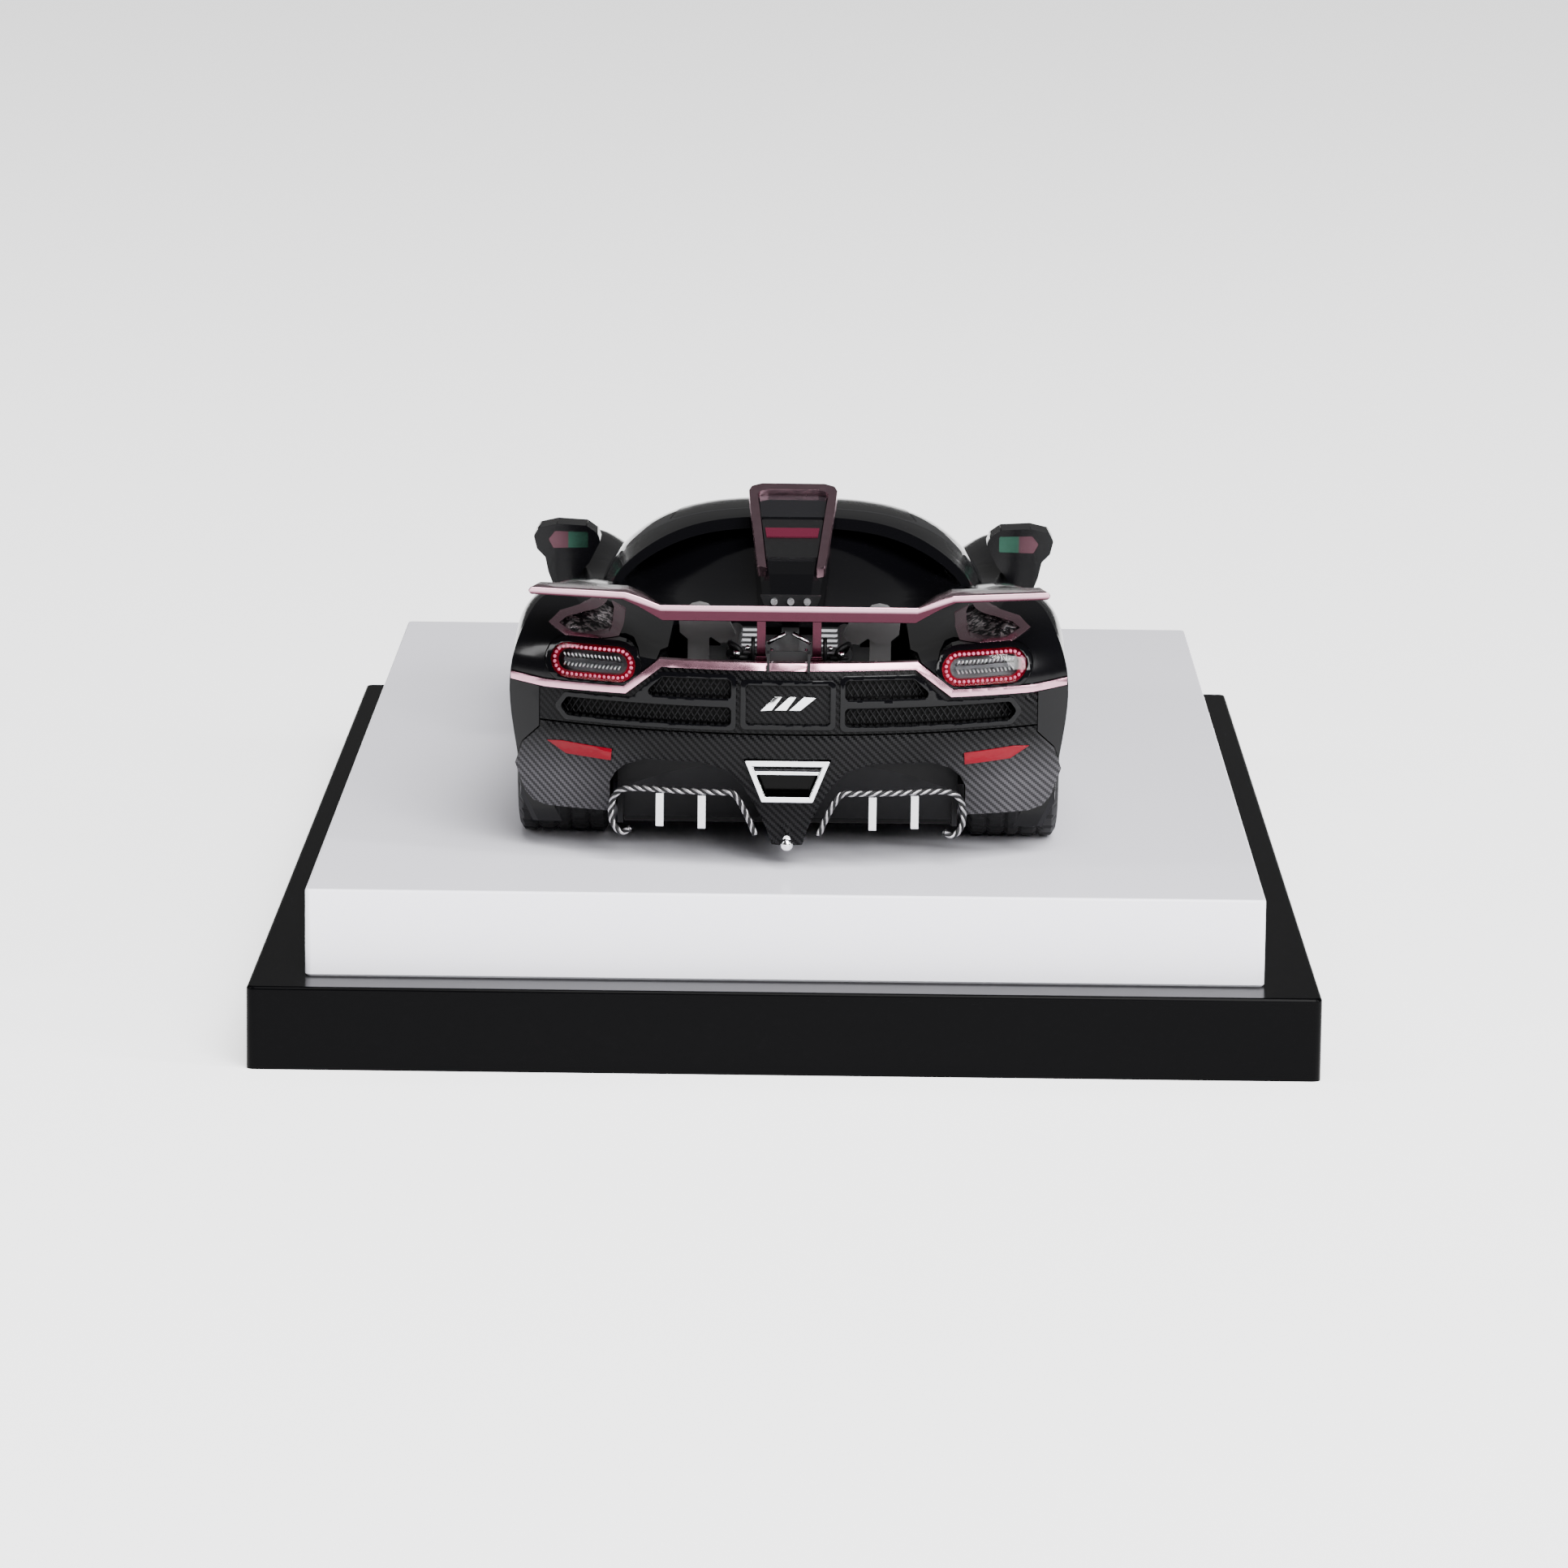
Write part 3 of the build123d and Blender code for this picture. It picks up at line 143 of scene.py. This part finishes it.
def carbon(name, size, dark, light, rough=0.3, coat=0.2, painted_reflection_tones=None):
    """A 2 x 2 twill under clear lacquer, woven along X and Z; the optional pair of tones is a paler weave painted at
    the low outer corners, a painted reflection of the white plate below.
    """
    m = Mat(name, dark, rough=rough, ior=1.22, Specular_IOR_Level=0.22, Coat_Weight=coat, Coat_Roughness=0.05,
            Coat_IOR=1.12)
    x, y, z = m.coords(1.0 / size)
    across = m.math("FLOOR", x)
    along = m.math("FLOOR", z)
    step = m.math("FLOORED_MODULO", m.math("ADD", across, along), 4.0)
    over = m.math("LESS_THAN", step, 1.5)
    tone = m.mix(over, dark, light)
    if painted_reflection_tones:
        # painted reflection: the low outer corners turn paler, standing in for the white plate mirrored in them
        real_x, real_y, real_z = m.coords()
        out = m.math("DIVIDE", m.math("SUBTRACT", m.math("ABSOLUTE", real_x), 7.5), 5.0)
        low = m.math("DIVIDE", m.math("SUBTRACT", ROAD + 7.2, real_z), 2.6)
        painted_reflection_mask = m.math("MULTIPLY", m.clamped(out), m.clamped(low))
        tone = m.mix(painted_reflection_mask, tone, m.mix(over, *painted_reflection_tones))
    m.link(tone, m.bsdf.inputs["Base Color"])
    wave_x = m.math("PINGPONG", x, 0.5)
    wave_z = m.math("PINGPONG", z, 0.5)
    under = m.math("SUBTRACT", 1.0, over)
    height = m.math("ADD", m.math("MULTIPLY", over, wave_z), m.math("MULTIPLY", under, wave_x))
    m.bump(height, 0.35, 0.04)
    m.rough_from(over, 0.22, 0.42)
    return m.mat


def rose(name, base):
    m = Mat(name, base, metallic=1.0, rough=0.24, Coat_Weight=0.12, Coat_Roughness=0.06)
    flakes = m.noise(9.0, 1)
    m.bump(flakes, 0.12, 0.01)
    m.rough_from(m.noise(1.5, 3), 0.18, 0.32)
    return m.mat


def wing_lacquer():
    """Maroon metallic, with a painted highlight: paler rose painted along the wing's upper edge, where a rounded edge
    would catch the top light.
    """
    maroon, highlight_rose = (0.05, 0.011, 0.021), (0.62, 0.36, 0.44)
    tip_start, tip_rise, fade = WING_FLAT + WING_RAMP, 0.048, 0.16
    m = Mat("rose_wing", maroon, metallic=1.0, rough=0.24, Coat_Weight=0.15, Coat_Roughness=0.06)
    x, y, z = m.coords()
    out = m.math("ABSOLUTE", x)
    ramp = m.clamped(m.math("DIVIDE", m.math("SUBTRACT", out, WING_FLAT), WING_RAMP))
    tip = m.math("MULTIPLY", m.math("MAXIMUM", m.math("SUBTRACT", out, tip_start), 0.0), tip_rise)
    edge = m.math("ADD", m.math("ADD", m.math("MULTIPLY", ramp, WING_RISE), tip), ROAD + WING_HIGHLIGHT_Z)
    # painted highlight: paler rose above the edge height, standing in for light caught by the rounded top edge
    painted_highlight = m.clamped(m.math("DIVIDE", m.math("SUBTRACT", z, edge), fade))
    m.link(m.mix(painted_highlight, maroon, highlight_rose), m.bsdf.inputs["Base Color"])
    m.bump(m.noise(9.0, 1), 0.12, 0.01)
    m.rough_from(m.noise(1.5, 3), 0.18, 0.32)
    return m.mat


def metal(name, base, rough):
    m = Mat(name, base, metallic=1.0, rough=rough)
    m.rough_from(m.noise(4.0, 3), max(rough - 0.06, 0.02), rough + 0.08)
    return m.mat


def plastic(name, base, rough, grain=3.0, bump=0.08):
    m = Mat(name, base, rough=rough, ior=1.25)
    m.bump(m.noise(grain, 3), bump, 0.03)
    return m.mat


def foil():
    m = Mat("crumpled_foil", (0.20, 0.18, 0.19), metallic=0.85, rough=0.38)
    n = m.noise(3.2, 3)
    m.bump(n, 1.0, 0.35)
    facets = m.mix(m.math("GREATER_THAN", n, 0.52), (0.03, 0.03, 0.032), (0.34, 0.31, 0.32))
    m.link(facets, m.bsdf.inputs["Base Color"])
    return m.mat


def glass(name, tint, weight, rough=0.02, ior=1.45):
    m = Mat(name, tint, rough=rough, ior=ior, Transmission_Weight=weight)
    m.rough_from(m.noise(0.4, 1), rough, rough + 0.03)
    return m.mat


def acrylic(name, base, rough, ior):
    m = Mat(name, base, rough=rough, ior=ior, Coat_Roughness=0.04)
    m.bump(m.noise(0.12, 2), 0.02, 0.03)
    return m.mat


def red_lens():
    m = Mat("red_lens", (0.13, 0.001, 0.007), rough=0.12, ior=1.25)
    m.bump(m.noise(2.4, 1), 0.3, 0.08)
    m.rough_from(m.noise(2.0, 2), 0.08, 0.2)
    return m.mat


def led_pink():
    m = Mat("led_pink", (0.60, 0.14, 0.24), rough=0.25, Emission_Strength=0.08)
    m.set("Emission Color", (1.0, 0.18, 0.32, 1.0))
    m.rough_from(m.noise(3.0, 2), 0.15, 0.35)
    return m.mat


def tip_chrome():
    """Chrome outside; painted shade inside the outlet: grey over the cross bar and near black under it."""
    polished, shaded, outlet_shade = (0.82, 0.82, 0.84), (0.12, 0.12, 0.125), (0.006, 0.006, 0.006)
    mouth_depth, bar_z = 0.02, 5.42
    m = Mat("tip_chrome", polished, metallic=1.0, rough=0.1)
    x, y, z = m.coords()
    # painted shade: darker inside the outlet, darkest under the cross bar
    deep = m.math("GREATER_THAN", y, TAIL - mouth_depth)
    low = m.math("LESS_THAN", z, ROAD + bar_z)
    m.link(m.mix(deep, polished, m.mix(low, shaded, outlet_shade)), m.bsdf.inputs["Base Color"])
    m.rough_from(m.noise(3.0, 2), 0.07, 0.16)
    return m.mat


def tinted_mirror():
    m = Mat("mirror_glass", (0.3, 0.34, 0.33), metallic=0.9, rough=0.16)
    x, y, z = m.coords()
    inner = m.math("LESS_THAN", m.math("ABSOLUTE", x), MIRROR_SPLIT)
    m.link(m.mix(inner, (0.075, 0.035, 0.045), (0.025, 0.07, 0.05)), m.bsdf.inputs["Base Color"])
    return m.mat


BLACK = lacquer()
CARBON = carbon("carbon_tail", 0.10, (0.001, 0.001, 0.0012), (0.007, 0.007, 0.0075))
# painted reflection: paler weave tones at the bumper's low outer corners
CARBON_LOW = carbon("carbon_bumper", 0.11, (0.0012, 0.0012, 0.0014), (0.009, 0.009, 0.0095), rough=0.35,
                    painted_reflection_tones=((0.020, 0.0195, 0.021), (0.062, 0.060, 0.065)))
ROSE = rose("rose_trim", (0.62, 0.32, 0.41))
MAROON = wing_lacquer()
MAUVE = rose("rose_frame", (0.56, 0.34, 0.41))
BEZEL = acrylic("gloss_black", (0.0015, 0.0015, 0.002), 0.08, 1.25)
MAROON_LENS = acrylic("maroon_lens", (0.07, 0.008, 0.02), 0.2, 1.2)
TIP = tip_chrome()
SATIN = plastic("satin_black", (0.006, 0.006, 0.0065), 0.42)
DEEP = plastic("deep_black", (0.002, 0.002, 0.0022), 0.6)
CHROME = metal("chrome", (0.82, 0.82, 0.84), 0.09)
SILVER = metal("silver", (0.70, 0.70, 0.72), 0.28)
GUNMETAL = metal("gunmetal", (0.10, 0.10, 0.105), 0.34)
GREY = plastic("grey_casting", (0.12, 0.118, 0.12), 0.4, 2.5, 0.3)
RED = red_lens()
PINK = led_pink()
CLEAR = glass("clear_lens", (0.95, 0.95, 0.96), 1.0, 0.02, 1.2)
TINT = glass("tinted_glass", (0.03, 0.03, 0.035), 0.75)
WHITE = acrylic("white_acrylic", (0.88, 0.87, 0.94), 0.24, 1.42)
PLINTH = acrylic("black_acrylic", (0.001, 0.001, 0.0012), 0.2, 1.12)
STEEL = metal("steel", (0.52, 0.52, 0.54), 0.3)
RUBBER = plastic("tyre_rubber", (0.010, 0.010, 0.0105), 0.62, 5.0, 0.2)
RIM = metal("rim_dark", (0.055, 0.055, 0.06), 0.22)
SEAT = plastic("seat_hide", (0.012, 0.012, 0.013), 0.5, 4.0, 0.25)
FOIL = foil()
MIRROR = tinted_mirror()

FINISH = {
    "plinth": PLINTH, "display_plate": WHITE, "mounting_screws": STEEL, "chassis_plate": DEEP,
    "body_shell": BLACK, "engine_cover": BLACK, "roof_panel": BLACK, "roof_scoop": BLACK, "mirror_shells": BLACK,
    "taillight_housings": BEZEL, "grille_frames": BEZEL, "rear_fascia": CARBON, "badge_panel": CARBON,
    "rear_bumper": CARBON_LOW, "front_splitter": CARBON, "side_skirts": CARBON, "diffuser_hoops": CARBON_LOW,
    "grille_meshes": DEEP, "nose_meshes": DEEP, "side_meshes": DEEP, "diffuser": DEEP, "trim_latch": SATIN,
    "bolted_bracket": SATIN, "wiper": SATIN, "interior_tub": SATIN, "steering_wheel": SATIN,
    "badge_mark": CHROME, "exhaust_tip": TIP, "tow_eye": CHROME, "diffuser_fins": SILVER, "bracket_bolts": SILVER,
    "intake_manifolds": GUNMETAL, "headlight_inserts": SILVER, "rear_brake_discs": STEEL, "front_brake_discs": STEEL,
    "rear_axle": STEEL, "front_axle": STEEL, "engine_block": GUNMETAL, "taillight_cores": GUNMETAL,
    "stop_lamp_housing": GUNMETAL, "heat_shields": GREY, "rear_reflectors": RED, "stop_lamp": MAROON_LENS,
    "taillight_rings": RED, "taillight_lenses": CLEAR, "headlight_lenses": CLEAR, "cabin_glass": TINT,
    "rear_window": TINT, "trim_strip": ROSE, "rear_wing": MAROON, "wing_struts": MAROON, "vent_frames": MAUVE,
    "roof_frame": MAUVE, "vent_meshes": FOIL, "mirror_glass": MIRROR, "seats": SEAT, "rear_rims": RIM,
    "front_rims": RIM, "rear_tyres": RUBBER, "front_tyres": RUBBER,
}
for name, obj in NODES.items():
    obj.data.materials.clear()
    obj.data.materials.append(FINISH[name])

# edges eased in mm, so that they catch the light
EASED = {"rear_wing": 0.26, "trim_strip": 0.14, "wing_struts": 0.08, "exhaust_tip": 0.06, "vent_frames": 0.08,
         "diffuser_fins": 0.06, "badge_mark": 0.03, "taillight_housings": 0.10, "grille_frames": 0.05,
         "roof_frame": 0.1,
         "display_plate": 0.12, "plinth": 0.15, "rear_bumper": 0.08, "mirror_shells": 0.12, "rear_reflectors": 0.05}
for name, width in EASED.items():
    obj = NODES[name]
    weld = obj.modifiers.new("weld", "WELD")
    weld.merge_threshold = 0.002 * MM
    bevel = obj.modifiers.new("bevel", "BEVEL")
    bevel.width = width * MM
    bevel.segments = 3
    bevel.limit_method = "ANGLE"
    bevel.angle_limit = math.radians(35)
    bevel.harden_normals = True


# ------------------------------------------------------------------ geometry helpers, all in mm above the road
def at(x, y, z):
    return Vector((x * MM, y * MM, (ROAD + z) * MM))


def tail_y(x, inset=0.0):
    return TAIL_C - math.sqrt((TAIL_R - inset) ** 2 - x * x)


def mesh_object(name, verts, faces, mats, smooth=True, slots=None):
    me = bpy.data.meshes.new(name)
    me.from_pydata([tuple(v) for v in verts], [], faces)
    for m in mats:
        me.materials.append(m)
    if slots:
        for poly, s in zip(me.polygons, slots):
            poly.material_index = s
    for poly in me.polygons:
        poly.use_smooth = smooth
    me.update()
    obj = bpy.data.objects.new(name, me)
    bpy.context.scene.collection.objects.link(obj)
    return obj


def tube(points, radius, sides=6):
    """Vertices and faces of a closed tube along points in mm."""
    pts = [Vector(p) for p in points]
    verts, faces = [], []
    normal = None
    for i, p in enumerate(pts):
        d = (pts[min(i + 1, len(pts) - 1)] - pts[max(i - 1, 0)]).normalized()
        if normal is None:
            normal = d.orthogonal().normalized()
        normal = (normal - d * normal.dot(d)).normalized()
        other = d.cross(normal)
        for k in range(sides):
            a = 2 * math.pi * k / sides
            v = p + (normal * math.cos(a) + other * math.sin(a)) * radius
            verts.append(at(*v))
    for i in range(len(pts) - 1):
        for k in range(sides):
            a, b = i * sides + k, i * sides + (k + 1) % sides
            faces.append((a, b, b + sides, a + sides))
    faces.append(tuple(range(sides))[::-1])
    faces.append(tuple((len(pts) - 1) * sides + k for k in range(sides)))
    return verts, faces


class Pile:
    """Collects meshes into one piece."""

    def __init__(self):
        self.verts, self.faces, self.slots = [], [], []

    def add(self, verts, faces, slot=0):
        base = len(self.verts)
        self.verts += verts
        self.faces += [tuple(base + i for i in f) for f in faces]
        self.slots += [slot] * len(faces)

    def build(self, name, mats, body, smooth=True):
        obj = mesh_object(name, self.verts, self.faces, mats, smooth, self.slots)
        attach(obj, body)
        return obj


def ball(centre, radius, rings=5, sides=8):
    verts, faces = [], []
    for i in range(rings + 1):
        t = math.pi * i / rings
        for k in range(sides):
            a = 2 * math.pi * k / sides
            verts.append(at(centre[0] + radius * math.sin(t) * math.cos(a), centre[1] + radius * math.cos(t),
                            centre[2] + radius * math.sin(t) * math.sin(a)))
    for i in range(rings):
        for k in range(sides):
            a, b = i * sides + k, i * sides + (k + 1) % sides
            faces.append((a, b, b + sides, a + sides))
    return verts, faces


def spline(points, per=10):
    """Catmull-Rom through 3-D points."""
    pts = [Vector(p) for p in points]
    ext = [2 * pts[0] - pts[1]] + pts + [2 * pts[-1] - pts[-2]]
    out = []
    for i in range(1, len(ext) - 2):
        p0, p1, p2, p3 = ext[i - 1: i + 3]
        for k in range(per):
            t = k / per
            out.append(0.5 * (2 * p1 + (p2 - p0) * t + (2 * p0 - 5 * p1 + 4 * p2 - p3) * t * t
                              + (3 * p1 - p0 - 3 * p2 + p3) * t ** 3))
    out.append(pts[-1])
    return out


# ------------------------------------------------------------------ tyres with tread
def tyre_set(name, node, body, radius, width, out, axle_y, axle_z, steps=180):
    rim_r = radius * 0.72
    half = width / 2
    profile = []
    for u, r in ((-half + 0.2, rim_r), (-half, rim_r + 0.25), (-half + 0.02, radius - 0.75),
                 (-half + 0.08, radius - 0.42), (-half + 0.26, radius - 0.12)):
        profile.append((u, r, 0))
    n_across = 22
    for i in range(n_across + 1):
        u = -half + 0.36 + (width - 0.72) * i / n_across
        profile.append((u, radius, 1))
    profile += [(-u, r, k) for u, r, k in profile[4::-1]]
    pile = Pile()
    for sx in (-1, 1):
        verts, faces = [], []
        centre = sx * (out - half)
        for s in range(steps):
            a = 2 * math.pi * s / steps
            block = s % 6
            for u, r, kind in profile:
                depth = 0.0
                if kind:
                    pos = u / (half - 0.36)
                    if min(abs(pos - q) for q in (-0.62, -0.2, 0.2, 0.62)) < 0.055:
                        depth = 0.16
                    shift = int(2 * abs(pos) + 0.5)
                    if (block + shift) % 6 == 0 and abs(pos) > 0.12:
                        depth = 0.13
                elif r > radius - 0.5 and block % 6 == 0:
                    depth = 0.07
                rr = r - depth
                verts.append(at(centre + u, axle_y + rr * math.cos(a), axle_z + rr * math.sin(a)))
        m = len(profile)
        for s in range(steps):
            t = (s + 1) % steps
            for i in range(m - 1):
                quad = (s * m + i, s * m + i + 1, t * m + i + 1, t * m + i)
                faces.append(quad)
            faces.append((s * m + m - 1, s * m, t * m, t * m + m - 1))
        pile.add(verts, faces)
    obj = pile.build(name, [RUBBER], body, smooth=False)
    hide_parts(node)
    return obj


tyre_set("rear_tyre_treads", "rear_tyres", "rear_wheels", **REAR_WHEEL)
tyre_set("front_tyre_treads", "front_tyres", "front_wheels", **FRONT_WHEEL)


# ------------------------------------------------------------------ woven wire in the tail's openings
def inside(poly, x, z):
    hit = False
    for (x0, z0), (x1, z1) in zip(poly, poly[1:] + poly[:1]):
        if (z0 > z) != (z1 > z) and x < (x1 - x0) * (z - z0) / (z1 - z0) + x0:
            hit = not hit
    return hit


UPPER = [(3.18, 9.65), (8.05, 9.65), (6.95, 10.69), (3.18, 10.69)]
LOWER = [(3.18, 8.16), (12.3, 8.16), (12.65, 8.6), (12.3, 9.14), (3.18, 9.14)]
wire = Pile()
for poly in (UPPER, LOWER):
    for sx in (-1, 1):
        for lean in (-1, 1):
            x = 0.0
            while x < 15.0:
                run = []
                for k in range(15):
                    z = poly[0][1] - 0.02 + k * (1.1 / 14)
                    px = x + lean * (z - poly[0][1]) * 0.62
                    if inside(poly, px, z):
                        run.append((sx * px, tail_y(px, 0.5 + 0.04 * lean), z))
                if len(run) > 2:
                    wire.add(*tube(run, 0.045, 5))
                x += 0.36
wire_obj = wire.build("grille_wires", [SATIN], "model")
backing = Pile()
for poly in (UPPER, LOWER):
    for sx in (-1, 1):
        verts, faces = [], []
        (x0, low), (x1, _), (slope_x, high) = poly[0], poly[1], poly[-2]
        n = 24
        for i in range(n + 1):
            x = x0 + (x1 - x0) * i / n
            fall = max(x - slope_x, 0) / max(x1 - slope_x, 1e-6) * (high - low)
            top = high - fall
            verts += [at(sx * x, tail_y(x, 0.72), low), at(sx * x, tail_y(x, 0.72), top)]
        for i in range(n):
            a, b, c, d = 2 * i, 2 * i + 1, 2 * i + 3, 2 * i + 2
            faces.append((a, b, c, d) if sx > 0 else (a, d, c, b))
        backing.add(verts, faces)
back_obj = backing.build("grille_backing", [DEEP], "model", smooth=False)
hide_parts("grille_meshes")
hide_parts("grille_meshes")

# ------------------------------------------------------------------ twisted hoops under the bumper
HOOP = [(8.75, 1.95), (9.25, 1.72), (9.72, 2.2), (9.82, 3.0), (9.55, 3.85), (8.7, 4.25), (6.0, 4.28), (3.7, 4.3),
        (3.0, 4.25), (2.4, 3.4), (1.75, 1.97)]
strands = Pile()
for sx in (-1, 1):
    axis = spline([(sx * x, tail_y(x, 0.35), z) for x, z in HOOP], 16)
    lengths = [0.0]
    for a, b in zip(axis, axis[1:]):
        lengths.append(lengths[-1] + (b - a).length)
    for strand in range(4):
        line = []
        for i, p in enumerate(axis):
            d = (axis[min(i + 1, len(axis) - 1)] - axis[max(i - 1, 0)]).normalized()
            side = d.cross(Vector((0, 1, 0))).normalized()
            out = Vector((0, 1, 0)) - d * d.y
            turn = sx * lengths[i] * 2 * math.pi / 1.15 + strand * math.pi / 2
            line.append(p + (side * math.cos(turn) + out.normalized() * math.sin(turn)) * 0.10)
        verts, faces = tube([tuple(v) for v in line], 0.088, 6)
        strands.add(verts, faces, strand % 2)
hoop_obj = strands.build("twisted_hoops", [SATIN, metal("strand_grey", (0.32, 0.31, 0.32), 0.35)], "model")
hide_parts("diffuser_hoops")


# ------------------------------------------------------------------ tail lamps: LED beads, ribs
def slot_points(cx, cz, w, h, count):
    r, flat = h / 2, (w - h) / 2
    total = 4 * flat + 2 * math.pi * r
    out = []
    for k in range(count):
        s = total * k / count
        if s < 2 * flat:
            out.append((cx - flat + s, cz + r))
        elif s < 2 * flat + math.pi * r:
            a = math.pi / 2 - (s - 2 * flat) / r
            out.append((cx + flat + r * math.cos(a), cz + r * math.sin(a)))
        elif s < 4 * flat + math.pi * r:
            out.append((cx + flat - (s - 2 * flat - math.pi * r), cz - r))
        else:
            a = -math.pi / 2 - (s - 4 * flat - math.pi * r) / r
            out.append((cx - flat + r * math.cos(a), cz + r * math.sin(a)))
    return out


beads, ribs = Pile(), Pile()
for sx in (-1, 1):
    for x, z in slot_points(LAMP_X, LAMP_Z, LED_W, LED_H, 40):
        beads.add(*ball((sx * x, tail_y(x, 0.24 + max(0, z - 11) * 0.3), z), 0.105))
    for k in range(15):
        x = 9.35 + k * 0.22
        for up in (-1, 1):
            p0 = (sx * x, tail_y(x, 0.66), LAMP_Z + up * 0.13)
            p1 = (sx * (x + 0.12), tail_y(x, 0.62), LAMP_Z + up * 0.36)
            ribs.add(*tube([p0, p1], 0.05, 5))
beads.build("lamp_beads", [PINK], "model")
ribs.build("lamp_ribs", [SILVER], "model")

# ------------------------------------------------------------------ engine bay: hoses, clamps, small castings
bay = Pile()
for sx in (-1, 1):
    hose = spline([(sx * 2.6, -38.0, 11.35), (sx * 2.75, -38.3, 11.9), (sx * 3.2, -38.1, 12.2),
                   (sx * 3.3, -37.2, 12.1), (sx * 3.1, -36.0, 11.5)], 8)
    bay.add(*tube([tuple(v) for v in hose], 0.16, 8), 0)
    bay.add(*ball((sx * 2.9, -38.6, 11.75), 0.24), 1)
    bay.add(*ball((sx * 2.3, -38.8, 12.1), 0.16), 1)
    bay.add(*tube([(sx * 2.0, -38.9, 11.4), (sx * 2.0, -38.9, 12.7)], 0.12, 6), 0)
    bay.add(*tube([(sx * 0.2, -38.6, 12.9), (sx * 1.2, -38.6, 12.35)], 0.13, 6), 1)
    bay.add(*tube([(sx * 0.95, -38.9, 11.4), (sx * 0.95, -38.9, 12.1)], 0.1, 6), 1)
    bay.add(*tube([(sx * 3.3, -38.2, 11.5), (sx * 2.3, -38.4, 11.5)], 0.14, 6), 0)
bay.build("bay_fittings", [SATIN, CHROME], "model")


# ------------------------------------------------------------------ stage, light and camera
def area(name, where, look, size, power, colour=(1, 1, 1), size_y=None):
    data = bpy.data.lights.new(name, "AREA")
    data.energy = power
    data.color = colour
    data.shape = "RECTANGLE" if size_y else "SQUARE"
    data.size = size
    if size_y:
        data.size_y = size_y
    obj = bpy.data.objects.new(name, data)
    bpy.context.scene.collection.objects.link(obj)
    obj.location = where
    obj.rotation_euler = (Vector(look) - Vector(where)).to_track_quat("-Z", "Y").to_euler()
    return obj


def stage_material(name, base, rough, glow):
    m = Mat(name, base, rough=rough, ior=1.3)
    m.set("Emission Color", (1, 1, 1, 1))
    m.set("Emission Strength", glow)
    return m.mat


floor = mesh_object("floor", [(-3, -3, 0), (3, -3, 0), (3, 3, 0), (-3, 3, 0)], [(0, 1, 2, 3)],
                    [stage_material("floor_white", (0.86, 0.86, 0.87), 0.8, 1.3)], smooth=False)

area("top_soft", (0.16, -0.44, 0.75), (0, -0.01, 0), 0.6, 15.0)
area("front_soft", (0.3, -0.8, 0.45), (0, -0.02, 0.01), 0.5, 12.0)
area("right_strip", (0.65, -0.3, 0.3), (0, -0.03, 0.01), 0.07, 3.5, size_y=0.4)
area("left_strip", (-0.6, -0.15, 0.35), (0, -0.03, 0.01), 0.07, 1.4, size_y=0.4)

world = bpy.data.worlds.new("studio")
world.use_nodes = True
world.node_tree.nodes["Background"].inputs[0].default_value = (1, 1, 1, 1)
world.node_tree.nodes["Background"].inputs[1].default_value = 0.12
bpy.context.scene.world = world

cam_data = bpy.data.cameras.new("camera")
cam_data.lens = 167.7
cam_data.sensor_width = 36.0
cam_data.clip_start = 0.01
cam_data.clip_end = 20.0
camera = bpy.data.objects.new("camera", cam_data)
bpy.context.scene.collection.objects.link(camera)
yaw, pitch, roll = (math.radians(v) for v in (-0.335, 9.958, 0.616))
ahead = Vector((math.sin(yaw) * math.cos(pitch), math.cos(yaw) * math.cos(pitch), -math.sin(pitch)))
right = Vector((math.cos(yaw), -math.sin(yaw), 0))
up = right.cross(ahead)
rolled_right = right * math.cos(roll) + up * math.sin(roll)
rolled_up = up * math.cos(roll) - right * math.sin(roll)
pose = Matrix.Identity(4)
for row in range(3):
    pose[row][0] = rolled_right[row]
    pose[row][1] = rolled_up[row]
    pose[row][2] = -ahead[row]
pose[0][3], pose[1][3], pose[2][3] = 0.00215, -0.44013, 0.08434
camera.matrix_world = pose
bpy.context.scene.camera = camera
